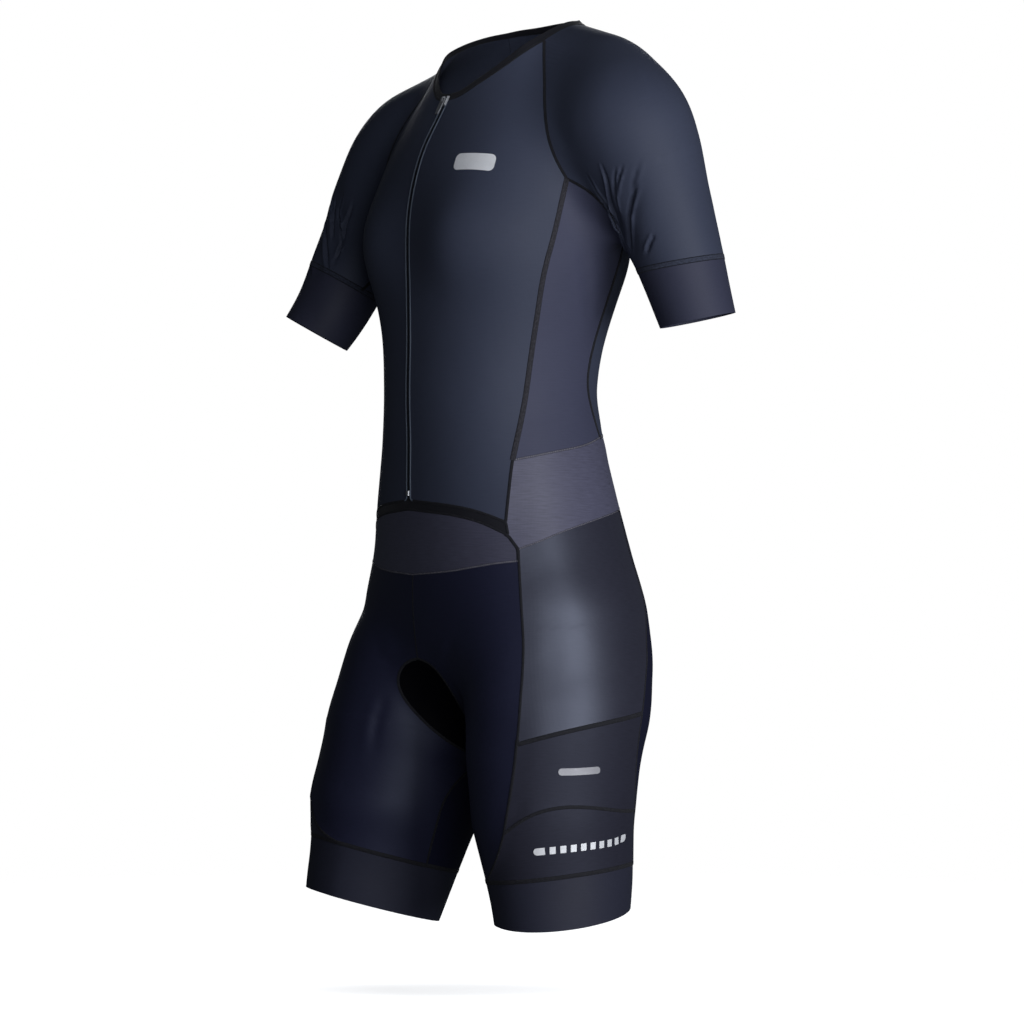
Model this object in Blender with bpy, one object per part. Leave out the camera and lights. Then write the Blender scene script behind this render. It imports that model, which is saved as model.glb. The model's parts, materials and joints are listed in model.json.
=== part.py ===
"""Short-sleeved cycling skinsuit, filled out as it is worn, in the pieces that a maker cuts and sews.

Metres, +Z up, front towards -Y, the wearer's left towards +X.
The origin lies midway between the tops of the two shoulders, where the wearer carries the suit.

The cut is worked out in three steps: a smooth filled-out form, the seams drawn on it, and a thin
wall for each piece between its seams. Every seam is one row of points that both neighbours share.
"""

import math
from collections import namedtuple

import bmesh
import bpy
import numpy as np

# ---------------------------------------------------------------- cloth
WALL = 0.0012            # thickness of every cloth wall
SEAM_GAP = 0.0003        # clear space left between two pieces that are sewn together
BINDING = 0.0070         # height of the neck binding
ZIP_HALF = 0.0030        # half the width of the zip that shows between the fronts

# ---------------------------------------------------------------- the filled-out form
# Sections of the body of the suit; front and back are depths from the plane y = 0.
Section = namedtuple("Section", "height half_width front back square")
TRUNK = [
    Section(0.090, 0.052, 0.012, 0.080, 2.0),
    Section(0.045, 0.055, 0.014, 0.084, 2.0),
    Section(0.020, 0.060, 0.018, 0.090, 2.0),
    Section(-0.005, 0.066, 0.025, 0.096, 2.0),
    Section(-0.030, 0.078, 0.039, 0.103, 2.1),
    Section(-0.060, 0.100, 0.055, 0.110, 2.2),
    Section(-0.100, 0.118, 0.077, 0.118, 2.3),
    Section(-0.145, 0.128, 0.090, 0.125, 2.3),
    Section(-0.200, 0.130, 0.093, 0.128, 2.3),
    Section(-0.245, 0.121, 0.093, 0.114, 2.2),
    Section(-0.285, 0.112, 0.093, 0.101, 2.2),
    Section(-0.325, 0.108, 0.094, 0.094, 2.2),
    Section(-0.370, 0.113, 0.093, 0.101, 2.2),
    Section(-0.430, 0.126, 0.093, 0.114, 2.2),
    Section(-0.490, 0.140, 0.089, 0.129, 2.2),
    Section(-0.545, 0.147, 0.085, 0.137, 2.1),
    Section(-0.585, 0.134, 0.073, 0.137, 2.0),
    Section(-0.615, 0.104, 0.054, 0.117, 2.0),
    Section(-0.640, 0.066, 0.032, 0.081, 2.0),
    Section(-0.662, 0.018, 0.010, 0.014, 2.0),
]
# Fullness cut into the front and the seat: place, height and spread of each rounded rise.
Rise = namedtuple("Rise", "across height out spread_x spread_z")
BUST = Rise(0.068, -0.183, 0.017, 0.042, 0.044)
SEAT = Rise(0.072, -0.585, 0.010, 0.046, 0.040)

# Shoulders, sleeves and legs: rings threaded on a bent centre line. A ring is deeper from front to
# back than it is wide by its last factor; a limb blends into the rest over a fillet of the given size.
Ring = namedtuple("Ring", "across back up radius deeper", defaults=(1.0,))
Limb = namedtuple("Limb", "rings blend")
LIMBS = {
    "shoulder_left": Limb([
        Ring(0.050, 0.058, -0.027, 0.044),
        Ring(0.108, 0.054, -0.038, 0.050),
        Ring(0.160, 0.042, -0.078, 0.050)], 0.024),
    "shoulder_right": Limb([
        Ring(-0.050, 0.056, -0.027, 0.043),
        Ring(-0.106, 0.044, -0.049, 0.046),
        Ring(-0.156, 0.030, -0.084, 0.047)], 0.024),
    "arm_left": Limb([
        Ring(0.160, 0.042, -0.078, 0.048),
        Ring(0.170, 0.047, -0.092, 0.049),
        Ring(0.178, 0.058, -0.124, 0.049),
        Ring(0.185, 0.070, -0.166, 0.0455),
        Ring(0.193, 0.082, -0.211, 0.0405),
        Ring(0.200, 0.093, -0.255, 0.0365),
        Ring(0.211, 0.110, -0.320, 0.032)], 0.022),
    "arm_right": Limb([
        Ring(-0.161, 0.020, -0.080, 0.047),
        Ring(-0.172, 0.006, -0.102, 0.048),
        Ring(-0.185, -0.008, -0.142, 0.047),
        Ring(-0.197, -0.024, -0.190, 0.0420),
        Ring(-0.209, -0.043, -0.239, 0.0365),
        Ring(-0.218, -0.058, -0.265, 0.0345),
        Ring(-0.246, -0.095, -0.335, 0.033)], 0.022),
    "leg_left": Limb([
        Ring(0.083, 0.022, -0.550, 0.069, 1.22),
        Ring(0.086, 0.020, -0.590, 0.075, 1.26),
        Ring(0.0905, 0.016, -0.622, 0.0775, 1.21),
        Ring(0.0945, 0.007, -0.665, 0.0765, 1.13),
        Ring(0.102, 0.001, -0.720, 0.071, 1.14),
        Ring(0.109, 0.005, -0.785, 0.061, 1.18),
        Ring(0.117, 0.003, -0.860, 0.053, 1.18),
        Ring(0.134, -0.002, -1.000, 0.048, 1.18)], 0.014),
    "leg_right": Limb([
        Ring(-0.083, -0.002, -0.535, 0.060, 1.15),
        Ring(-0.087, 0.000, -0.590, 0.077, 1.28),
        Ring(-0.096, -0.015, -0.650, 0.080, 1.22),
        Ring(-0.104, -0.038, -0.720, 0.0755, 1.16),
        Ring(-0.111, -0.051, -0.785, 0.0650, 1.18),
        Ring(-0.119, -0.069, -0.860, 0.0565, 1.18),
        Ring(-0.134, -0.100, -1.000, 0.048, 1.18)], 0.014),
}

# The largest creases, where the sleeves are drawn up under the arms: furrows from the front of each
# sleeve down to its underarm, so deep and with so wide a flank. A place on a limb is given by degrees
# round its centre line from the front outwards, and its height in millimetres.
LimbPlace = namedtuple("LimbPlace", "turn up")
Crease = namedtuple("Crease", "limb places deep flank")
CREASES = [
    Crease("arm_left", [LimbPlace(3, -118), LimbPlace(-12, -147), LimbPlace(-22, -178)], 0.0040, 0.0070),
    Crease("arm_left", [LimbPlace(28, -138), LimbPlace(9, -167), LimbPlace(-14, -196)], 0.0035, 0.0070),
    Crease("arm_right", [LimbPlace(10, -128), LimbPlace(-8, -153), LimbPlace(-20, -184)], 0.0040, 0.0070),
    Crease("arm_right", [LimbPlace(34, -150), LimbPlace(14, -178), LimbPlace(-8, -206)], 0.0035, 0.0070),
]


def smooth_curve(table, column, heights):
    """Smoothly interpolate one column of a section table at the given heights."""
    z = np.array([row.height for row in table])[::-1]
    v = np.array([getattr(row, column) for row in table])[::-1]
    slope = np.gradient(v, z)
    i = np.clip(np.searchsorted(z, heights) - 1, 0, len(z) - 2)
    step = z[i + 1] - z[i]
    t = np.clip((heights - z[i]) / step, 0.0, 1.0)
    return ((2 * t**3 - 3 * t**2 + 1) * v[i] + (t**3 - 2 * t**2 + t) * step * slope[i]
            + (3 * t**2 - 2 * t**3) * v[i + 1] + (t**3 - t**2) * step * slope[i + 1])


def rounded_rise(rise, x, z):
    return rise.out * np.exp(-((np.abs(x) - rise.across) / rise.spread_x)**2
                             - ((z - rise.height) / rise.spread_z)**2)


def trunk_depth(p):
    """How far points lie outside the body of the suit, without its limbs."""
    x, y, z = p.T
    half, square = (smooth_curve(TRUNK, c, z) for c in ("half_width", "square"))
    deep = np.where(y < 0, smooth_curve(TRUNK, "front", z), smooth_curve(TRUNK, "back", z))
    ratio = ((np.abs(x) / half)**square + (np.abs(y) / deep)**square)**(1 / square)
    reach = np.hypot(x, y)
    facing = np.clip(-y / 0.06, 0, 1), np.clip(y / 0.06, 0, 1)
    return (reach * (1 - 1 / np.maximum(ratio, 1e-6))
            - facing[0] * rounded_rise(BUST, x, z) - facing[1] * rounded_rise(SEAT, x, z)
            + np.maximum(TRUNK[-1].height - z, 0.0))


def limb_depth(p, limb):
    """How far points lie outside a limb, measured from the nearest stretch of its centre line."""
    rings = np.array(limb.rings)
    depth = np.full(len(p), np.inf)
    for near, far in zip(rings[:-1], rings[1:]):
        start, along = near[:3], far[:3] - near[:3]
        t = np.clip((p - start) @ along / (along @ along), 0.0, 1.0)
        radius, deeper = (near[k] + t * (far[k] - near[k]) for k in (3, 4))
        away = p - start - t[:, None] * along
        away[:, 1] /= deeper
        depth = np.minimum(depth, np.sqrt((away**2).sum(axis=1)) - radius)
    return depth


def limb_centre(limb, up):
    """Place on a limb's centre line at a height, and the radius there."""
    rings = np.array(LIMBS[limb].rings)[::-1]
    across, back, radius = (np.interp(up, rings[:, 2], rings[:, k]) for k in (0, 1, 3))
    return np.array([across, back, up, radius])


def crease_line(crease):
    """Points of a crease on its limb's surface."""
    side = -1 if crease.limb.endswith("right") else 1
    points = []
    for place in crease.places:
        x, y, z, radius = limb_centre(crease.limb, place.up / 1000)
        turn = math.radians(place.turn)
        points.append((x + side * radius * math.sin(turn), y - radius * math.cos(turn), z))
    return np.array(points)


def crease_depth(p):
    """How far the creases draw the surface in at points."""
    drawn = np.zeros(len(p))
    for crease, line in zip(CREASES, CREASE_LINES):
        middle = line.mean(axis=0)
        near = np.abs(p - middle).max(axis=1) < 0.08
        if not near.any():
            continue
        close = np.full(near.sum(), np.inf)
        for start, end in zip(line[:-1], line[1:]):
            along = end - start
            t = np.clip((p[near] - start) @ along / (along @ along), 0.0, 1.0)
            close = np.minimum(close, np.linalg.norm(p[near] - start - t[:, None] * along, axis=1))
        drawn[near] += crease.deep * np.exp(-(close / crease.flank)**2)
    return drawn


def smooth_min(a, b, blend):
    overlap = np.maximum(blend - np.abs(a - b), 0.0) / blend
    return np.minimum(a, b) - overlap**3 * blend / 6


CREASE_LINES = [crease_line(crease) for crease in CREASES]


def form(p):
    """Depth of points outside the filled-out form; nought on the cloth's outer face."""
    depth = trunk_depth(p)
    for limb in LIMBS.values():
        depth = smooth_min(depth, limb_depth(p, limb), 3 * limb.blend)
    return depth + crease_depth(p)


def form_slope(p, step=0.0008):
    return np.stack([(form(p + step * axis) - form(p - step * axis)) / (2 * step)
                     for axis in np.eye(3)], axis=1)


def onto_form(points, rounds=4):
    """Slide points onto the form's surface the short way."""
    shape = np.shape(points)
    p = np.reshape(points, (-1, 3)).astype(float)
    for _ in range(rounds):
        slope = form_slope(p)
        p = p - (form(p) / np.maximum((slope**2).sum(axis=1), 0.05))[:, None] * slope
    return p.reshape(shape)


def cast(centres, directions, reach=0.22, steps=56):
    """Go out from centres inside the form until its surface is first met."""
    centres, directions = np.broadcast_arrays(np.atleast_2d(centres), np.atleast_2d(directions))
    out = directions / np.linalg.norm(directions, axis=1)[:, None]
    near, far = np.zeros(len(out)), np.full(len(out), reach)
    met = np.zeros(len(out), bool)
    for distance in np.linspace(0, reach, steps)[1:]:
        outside = form(centres + out * distance) > 0
        far = np.where(outside & ~met, distance, far)
        near = np.where(~outside & ~met, distance, near)
        met |= outside
    for _ in range(14):
        middle = (near + far) / 2
        outside = form(centres + out * middle[:, None]) > 0
        near, far = np.where(outside, near, middle), np.where(outside, middle, far)
    return centres + out * near[:, None]


# ---------------------------------------------------------------- seams
# Places on the left half, in millimetres from the origin; pull is how far the forward right leg draws
# a place across. The right half is the same cut, drawn on the other side of the form, so only the
# seams round the arms have a table for each side: one arm hangs back and the other reaches forward.
Place = namedtuple("Place", "across back up pull", defaults=(0,))
NECK_FRONT = [Place(3, -50, -50), Place(17, -49, -49), Place(33, -42, -40), Place(50, -31, -28),
              Place(64, -16, -14), Place(73, 12, 2)]
NECK_SHOULDER = [Place(73, 12, 2), Place(71, 38, 10), Place(59, 63, 17)]
NECK_BACK = [Place(59, 63, 17), Place(30, 83, 23), Place(0, 90, 25)]
RAGLAN_FRONT = {
    "left": [Place(73, 12, 2), Place(92, -1, -27), Place(114, -17, -67), Place(124, -19, -96),
             Place(133, -5, -131), Place(151, 8, -143), Place(163, 20, -161), Place(165, 34, -188),
             Place(154, 51, -202)],
    "right": [Place(73, 12, 2), Place(92, -8, -27), Place(114, -31, -67), Place(123, -37, -96),
              Place(128, -37, -133), Place(136, -31, -168), Place(141, -5, -190)],
}
RAGLAN_BACK = {
    "left": [Place(59, 63, 17), Place(88, 90, -22), Place(109, 98, -66), Place(115, 90, -106),
             Place(120, 80, -140), Place(125, 71, -170), Place(138, 66, -190), Place(154, 51, -202)],
    "right": [Place(59, 63, 17), Place(88, 87, -22), Place(112, 88, -66), Place(126, 74, -106),
              Place(137, 50, -140), Place(142, 27, -164), Place(142, 11, -180), Place(141, -5, -190)],
}
PRINCESS_TOP = {
    "left": [Place(133, -5, -131), Place(130, -15, -175), Place(125, -25, -216)],
    "right": [Place(128, -37, -133), Place(123, -33, -178), Place(124, -28, -216)],
}
BACK_SEAM_TOP = {
    "left": [Place(125, 71, -170), Place(119, 67, -205)],
    "right": [Place(142, 27, -164), Place(129, 44, -203)],
}
ZIP_LINE = [Place(3, -50, -50), Place(3, -89, -145), Place(3, -93, -240), Place(3, -94, -340), Place(3, -95, -429)]
PRINCESS = [Place(111, -26, -271),
            Place(104, -32, -336), Place(105, -47, -392), Place(108, -54, -425), Place(109, -58, -449),
            Place(112, -57, -462), Place(119, -51, -474), Place(121, -52, -485)]
BACK_SEAM = [Place(114, 61, -250), Place(104, 44, -312),
             Place(98, 49, -340), Place(94, 60, -370)]
FRONT_HEM = [Place(3, -95, -429), Place(60, -87, -434), Place(89, -73, -440), Place(109, -58, -449)]
HEM_BAND = [Place(3, -95, -438), Place(60, -87, -443), Place(90, -73, -450), Place(112, -57, -462)]
YOKE_POINT = [Place(0, -91, -499), Place(58, -86, -495), Place(100, -69, -488), Place(121, -52, -485)]
WAIST_TOP = [Place(105, -47, -392), Place(113, -28, -388), Place(116, -1, -383), Place(111, 31, -378),
             Place(94, 60, -370), Place(62, 88, -366), Place(0, 102, -364)]
WAIST_BOTTOM = [Place(119, -51, -474), Place(129, -33, -467), Place(133, -14, -459), Place(130, 23, -449),
                Place(100, 80, -438), Place(60, 105, -434), Place(0, 115, -432)]
CENTRE_FRONT = [Place(0, -91, -499), Place(0, -85, -540, pull=3), Place(0, -78, -577, pull=8)]
CENTRE_BACK = [Place(0, 115, -432), Place(0, 128, -510), Place(0, 143, -565), Place(0, 146, -592)]
GUSSET_FRONT = [Place(0, -78, -577, pull=8), Place(18, -79, -582, pull=11), Place(32, -76, -602, pull=13),
                Place(32, -60, -628, pull=11), Place(25, -36, -655, pull=8), Place(19, 8, -674, pull=4)]
GUSSET_BACK = [Place(19, 8, -674, pull=4), Place(25, 48, -658, pull=2), Place(34, 88, -632), Place(33, 120, -614),
               Place(18, 138, -600), Place(0, 146, -592)]

# Places on a leg.
HIP_FRONT = [LimbPlace(31, -539), LimbPlace(32, -576), LimbPlace(30, -652), LimbPlace(25, -698), LimbPlace(18, -731),
             LimbPlace(4, -758)]
HIP_BACK = [LimbPlace(150, -515), LimbPlace(142, -548), LimbPlace(135, -580), LimbPlace(130, -606),
            LimbPlace(127, -630), LimbPlace(130, -674), LimbPlace(138, -724)]
UPPER_SEAM = [LimbPlace(30, -652), LimbPlace(57, -643), LimbPlace(84, -637), LimbPlace(127, -630)]
LOWER_SEAM = [LimbPlace(18, -731), LimbPlace(29, -721), LimbPlace(43, -714), LimbPlace(56, -710), LimbPlace(84, -714),
              LimbPlace(116, -722), LimbPlace(138, -724)]
INSEAM = [LimbPlace(-90, -700), LimbPlace(-90, -735)]
LEG_TOP = -0.580
BAND_FRONT_TURN, BAND_BACK_TURN, INSEAM_TURN = -16, 142, -90     # where the seams meet the leg band

# Open ends and the seams round them: centre, and how far the ring's axis leans for 1 down.
Loop = namedtuple("Loop", "across back up lean_across lean_back")
SLEEVE_LOOPS = {
    "left": [Loop(0.1925, 0.081, -0.2105, 0.10, 0.14), Loop(0.2005, 0.094, -0.2630, 0.12, 0.17)],
    "right": [Loop(-0.2025, -0.034, -0.2130, -0.32, -0.46), Loop(-0.2180, -0.058, -0.2640, -0.32, -0.46)],
}
LEG_LOOPS = {
    "left": [Loop(0.1080, 0.0050, -0.775, 0.069, 0.098), Loop(0.1130, 0.0040, -0.8160, -0.070, 0.150)],
    "right": [Loop(-0.1075, -0.0445, -0.770, -0.114, -0.243), Loop(-0.1125, -0.0562, -0.8195, -0.114, -0.243)],
}

# Rows and columns of each piece: how many equal lengths each seam is divided into.
FRONT_COLS, ZIP_COLS, RAGLAN_ROWS, ARMHOLE_FRONT, ARMHOLE_BACK, BACK_RAGLAN_ROWS = 8, 2, 9, 4, 3, 12
SIDE_ROWS, HEM_ROWS, NECK_COLS, BACK_COLS = 14, 4, 4, 7
SLEEVE_ROWS, CUFF_ROWS, BAND_ROWS = 12, 3, 3
HIP_ROWS, MID_ROWS, LOWER_ROWS, CROTCH_ROWS, ARCH_ROWS, SEAT_ROWS, INSEAM_ROWS = 10, 5, 4, 5, 8, 6, 6
SIDE_SIGN = {"left": 1, "right": -1}


def on_body(place, side):
    return np.array([SIDE_SIGN[side] * place.across - place.pull, place.back, place.up]) / 1000


def on_leg(place, side):
    """Places on a leg lie in planes that turn from level at its top to square at its band."""
    up, band = place.up / 1000, LEG_LOOPS[side][0]
    centre = limb_centre("leg_" + side, up)[:3]
    turn = math.radians(place.turn)
    outwards, forwards = SIDE_SIGN[side] * math.sin(turn), -math.cos(turn)
    tilt = np.interp(-up, [-LEG_TOP, -band.up], [0.0, 1.0])
    return cast(centre, [outwards, forwards, tilt * (band.lean_across * outwards + band.lean_back * forwards)])[0]


def round_loop(loop, turns, side, start):
    """Points round a limb, from the start direction towards the front or outwards, in degrees."""
    axis = np.array([loop.lean_across, loop.lean_back, -1.0])
    axis /= np.linalg.norm(axis)
    first = np.cross(np.cross(axis, start), axis)
    first /= np.linalg.norm(first)
    second = np.cross(axis, first)
    if start[0]:                       # sleeves go from the body forwards, legs from the front outwards
        second *= -np.sign(second[1])
    else:
        second *= SIDE_SIGN[side] * np.sign(second[0])
    turns = np.radians(turns)[:, None]
    return cast(np.array(loop[:3]), np.cos(turns) * first + np.sin(turns) * second, reach=0.14)


def even(points, count):
    """Divide a line into equal lengths."""
    run = np.concatenate([[0], np.cumsum(np.linalg.norm(np.diff(points, axis=0), axis=1))])
    at = np.linspace(0, run[-1], count + 1)
    return np.stack([np.interp(at, run, points[:, k]) for k in range(3)], axis=1)


def seam(points, *counts):
    """Draw a smooth seam through points on the form, cut into equal lengths between its joins.

    Each count is (index of the last point of a stretch, number of lengths); one line comes back
    for each stretch."""
    p = np.array(points)
    ends = np.concatenate([[2 * p[0] - p[1]], p, [2 * p[-1] - p[-2]]])
    t = np.linspace(0, 1, 24, endpoint=False)[:, None]
    drawn = [(2 * b + (c - a) * t + (2 * a - 5 * b + 4 * c - d) * t**2 + (3 * b - a - 3 * c + d) * t**3) / 2
             for a, b, c, d in zip(ends, ends[1:], ends[2:], ends[3:])]
    drawn = onto_form(np.concatenate(drawn + [p[-1:]]))
    stretches, start = [], 0
    for last, count in counts:
        stretches.append(onto_form(even(drawn[start * 24:last * 24 + 1], count)))
        start = last
    return stretches


def joined(*lines):
    """One line from several that follow each other."""
    return np.concatenate([lines[0]] + [line[1:] for line in lines[1:]])


# ---------------------------------------------------------------- pieces
def settle(grid, rounds=16, steps=3):
    """Spread the inner points of a grid between its sewn edges, on the form, so that no cell folds over."""
    for _ in range(rounds):
        for _ in range(steps):
            up, down, before, after = grid[:-2, 1:-1], grid[2:, 1:-1], grid[1:-1, :-2], grid[1:-1, 2:]
            along, across = (down - up) / 2, (after - before) / 2
            tall, wide, skew = ((p * q).sum(axis=-1, keepdims=True)
                                for p, q in ((along, along), (across, across), (along, across)))
            corners = grid[2:, 2:] - grid[2:, :-2] - grid[:-2, 2:] + grid[:-2, :-2]
            grid[1:-1, 1:-1] = (tall * (before + after) + wide * (up + down) - skew * corners / 2) / (2 * (tall + wide))
        grid[1:-1, 1:-1] = onto_form(grid[1:-1, 1:-1], 1)
    grid[1:-1, 1:-1] = onto_form(grid[1:-1, 1:-1])
    return grid


def patch(top, bottom, first, last):
    """Grid of a piece between its four edges; first and last run from top to bottom."""
    v = np.linspace(0, 1, len(first))[:, None, None]
    u = np.linspace(0, 1, len(top))[None, :, None]
    grid = ((1 - v) * top[None] + v * bottom[None] + (1 - u) * first[:, None] + u * last[:, None]
            - (1 - v) * ((1 - u) * top[0] + u * top[-1]) - v * ((1 - u) * bottom[0] + u * bottom[-1]))
    grid[0], grid[-1], grid[:, 0], grid[:, -1] = top, bottom, first, last
    return settle(grid)


def tube(top, bottom, rows):
    """Rings of a band that is closed round a limb."""
    v = np.linspace(0, 1, rows + 1)[:, None, None]
    grid = (1 - v) * top[None] + v * bottom[None]
    grid[1:-1] = onto_form(grid[1:-1])
    return grid


def sleeve_grid(top, bottom, underarm, line):
    """Grid of a raglan sleeve, fanned from its neck end to its cuff seam."""
    run = np.concatenate([[0], np.cumsum(np.linalg.norm(np.diff(line, axis=0), axis=1))])
    dense = np.stack([np.interp(np.linspace(0, run[-1], 200), run, line[:, k]) for k in range(3)], axis=1)

    def station(points):
        return np.linalg.norm(points[:, None] - dense[None], axis=2).argmin(axis=1)

    starts, end = station(top), station(bottom.mean(axis=0)[None])[0]
    from_top, from_bottom = top - dense[starts], bottom - dense[end]
    from_top /= np.linalg.norm(from_top, axis=1)[:, None]
    from_bottom /= np.linalg.norm(from_bottom, axis=1)[:, None]
    rows = [top]
    for v in np.linspace(0, 1, SLEEVE_ROWS + 1)[1:-1]:
        centres = dense[np.round(starts + v * (end - starts)).astype(int)]
        rows.append(cast(centres, (1 - v) * from_top + v * from_bottom, reach=0.14))
    grid = np.array(rows + [bottom])
    grid[:, 0] = grid[:, -1] = underarm
    return settle(grid, 20, 1)


def normals(grid):
    slope = form_slope(grid.reshape(-1, 3))
    return (slope / np.linalg.norm(slope, axis=1)[:, None]).reshape(grid.shape)


def inset(loop, facing, inward):
    """Vectors that move a closed edge loop square into its piece by half the seam gap."""
    ahead = np.roll(loop, -1, axis=0) - loop
    ahead /= np.linalg.norm(ahead, axis=1)[:, None]
    side = np.cross(facing, ahead)
    side /= np.linalg.norm(side, axis=1)[:, None]
    before = np.cross(facing, np.roll(ahead, 1, axis=0))
    before /= np.linalg.norm(before, axis=1)[:, None]
    mitre = (side + before) / (1 + (side * before).sum(axis=1))[:, None]
    if (mitre * inward).sum() < 0:
        mitre = -mitre
    return mitre * SEAM_GAP / 2


def wall(name, grid, closed=False):
    """Closed cloth wall on a grid: the outer face on the form, the inner one a wall's depth inside."""
    grid = grid[:, :-1] if closed else grid
    rows, cols = grid.shape[:2]
    facing = normals(grid)
    outer = grid.copy()
    index = np.arange(rows * cols).reshape(rows, cols)
    if closed:
        loops = [index[0], index[-1]]
        insides = [grid[1] - grid[0], grid[-2] - grid[-1]]
    else:
        loops = [np.concatenate([index[0], index[1:, -1], index[-1, -2::-1], index[-2:0:-1, 0]])]
        middle = grid[rows // 2, cols // 2]
        insides = [middle - grid.reshape(-1, 3)[loops[0]]]
    flat, flat_facing = outer.reshape(-1, 3), facing.reshape(-1, 3)
    moved = flat.copy()
    for loop, inside in zip(loops, insides):
        moved[loop] = flat[loop] + inset(flat[loop], flat_facing[loop], inside)
    points = np.concatenate([moved, moved - WALL * flat_facing])
    shift = rows * cols
    faces = []
    wrap = cols if closed else cols - 1
    for r in range(rows - 1):
        for c in range(wrap):
            a, b = index[r, c], index[r, (c + 1) % cols]
            d, e = index[r + 1, c], index[r + 1, (c + 1) % cols]
            if np.linalg.norm(moved[a] - moved[e]) < np.linalg.norm(moved[b] - moved[d]):
                faces += [(a, b, e), (a, e, d)]
            else:
                faces += [(a, b, d), (b, e, d)]
    a, b, c = (moved[[f[k] for f in faces]] for k in range(3))
    if (np.cross(b - a, c - a) * flat_facing[[f[0] for f in faces]]).sum() < 0:
        faces = [f[::-1] for f in faces]
    edges = {(f[k], f[(k + 1) % 3]) for f in faces for k in range(3)}
    level = flat @ (1.0, 2.0, 3.0)       # both sides of a seam split their edge faces the same way
    rim = []
    for a, b in sorted(edges):
        if (b, a) not in edges:
            if level[a] > level[b]:
                rim += [(b, a, b + shift), (a, a + shift, b + shift)]
            else:
                rim += [(b, a, a + shift), (b, a + shift, b + shift)]
    inner = [tuple(i + shift for i in f[::-1]) for f in faces]
    return solid(name, points, faces + inner + rim, CLOTH[name])


# ---------------------------------------------------------------- objects
def finish(name, colour, roughness, metallic=0.0):
    material = bpy.data.materials.new(name)
    material.use_nodes = True
    shader = material.node_tree.nodes["Principled BSDF"]
    shader.inputs["Base Color"].default_value = (*colour, 1.0)
    shader.inputs["Roughness"].default_value = roughness
    shader.inputs["Metallic"].default_value = metallic
    return material


def solid(name, points, faces, look):
    mesh = bpy.data.meshes.new(name)
    mesh.from_pydata([tuple(p) for p in points], [], [tuple(int(i) for i in f) for f in faces])
    mesh.validate()
    mesh.update()
    mesh.materials.append(LOOKS[look])
    piece = bpy.data.objects.new(name, mesh)
    COLLECTION.objects.link(piece)
    return piece


def box(name, size, place, frame, look, top_scale=1.0):
    """Block with its base on a place; frame's columns are its across, along and outward directions."""
    half = np.array(size) / 2
    points = []
    for level, scale in ((0.0, 1.0), (size[2], top_scale)):
        for sx, sy in ((-1, -1), (1, -1), (1, 1), (-1, 1)):
            points.append(place + frame @ (sx * half[0] * scale, sy * half[1] * scale, level))
    faces = [(3, 2, 1, 0), (4, 5, 6, 7)] + [(k, (k + 1) % 4, (k + 1) % 4 + 4, k + 4) for k in range(4)]
    return solid(name, points, faces, look)


def frame_plate(name, outline, window, near, far, plane, look):
    """Plate with a window: two loops of as many corners, between two levels of a plane.

    plane holds the origin and the directions of the outline's two coordinates and of the level."""
    origin, u, v, w = plane
    count = len(outline)
    points = [origin + a * u + b * v + level * w for level in (near, far) for loop in (outline, window)
              for a, b in loop]
    faces = []
    for k in range(count):
        n = (k + 1) % count
        low_out, low_in, high_out, high_in = 0, count, 2 * count, 3 * count
        faces += [(low_out + n, low_out + k, low_in + k, low_in + n),
                  (high_out + k, high_out + n, high_in + n, high_in + k),
                  (low_out + k, low_out + n, high_out + n, high_out + k),
                  (low_in + n, low_in + k, high_in + k, high_in + n)]
    if np.cross(u, v) @ w < 0:
        faces = [face[::-1] for face in faces]
    return solid(name, points, faces, look)


def join_solids(base, *others):
    """Unite solids that overlap into the base piece."""
    for other in others:
        union = base.modifiers.new("join", "BOOLEAN")
        union.operation, union.solver, union.object = "UNION", "EXACT", other
        other.hide_render, other.display_type = True, "WIRE"
        COLLECTION.objects.unlink(other)
        TOOLS.objects.link(other)


# ---------------------------------------------------------------- zip parts, in metres
SLIDER = (0.0078, 0.0105, 0.0022)       # across, along, thick
SLIDER_CLEAR = 0.0005                   # it rides this far off the coil
BRIDGE_WIDTH = 0.0024                   # the arch that carries the pull tab
ARCH = [(-0.0030, -0.0006), (0.0030, -0.0006), (0.0030, 0.0016), (0.0019, 0.0029), (-0.0019, 0.0029),
        (-0.0030, 0.0016)]
ARCH_WINDOW = [(-0.0013, 0.0001), (0.0013, 0.0001), (0.0013, 0.0014), (0.0011, 0.0021), (-0.0011, 0.0021),
               (-0.0013, 0.0014)]
TAB_THICK = 0.0010
TAB = [(-0.0027, -0.0005), (0.0027, -0.0005), (0.0029, 0.0080), (0.0021, 0.0160), (-0.0021, 0.0160),
       (-0.0029, 0.0080)]
TAB_WINDOW = [(-0.0016, 0.0005), (0.0016, 0.0005), (0.0016, 0.0030), (0.0012, 0.0042), (-0.0012, 0.0042),
              (-0.0016, 0.0030)]
SLIDER_DOWN = 0.0090                    # from the top of the zip to the slider's middle
END_STOP = (0.0046, 0.0052, 0.0014)


def zip_frame(line, down):
    """Place and directions on the zip's middle line, a given length below its top."""
    run = np.concatenate([[0], np.cumsum(np.linalg.norm(np.diff(line, axis=0), axis=1))])
    place = np.array([np.interp(down, run, line[:, k]) for k in range(3)])
    ahead = np.array([np.interp(down + 0.006, run, line[:, k]) for k in range(3)])
    behind = np.array([np.interp(down - 0.006, run, line[:, k]) for k in range(3)])
    along = (ahead - behind) / np.linalg.norm(ahead - behind)
    across = np.array([1.0, 0.0, 0.0])
    out = np.cross(across, -along)
    return place, np.stack([across, -along, out / np.linalg.norm(out)], axis=1)


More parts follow.
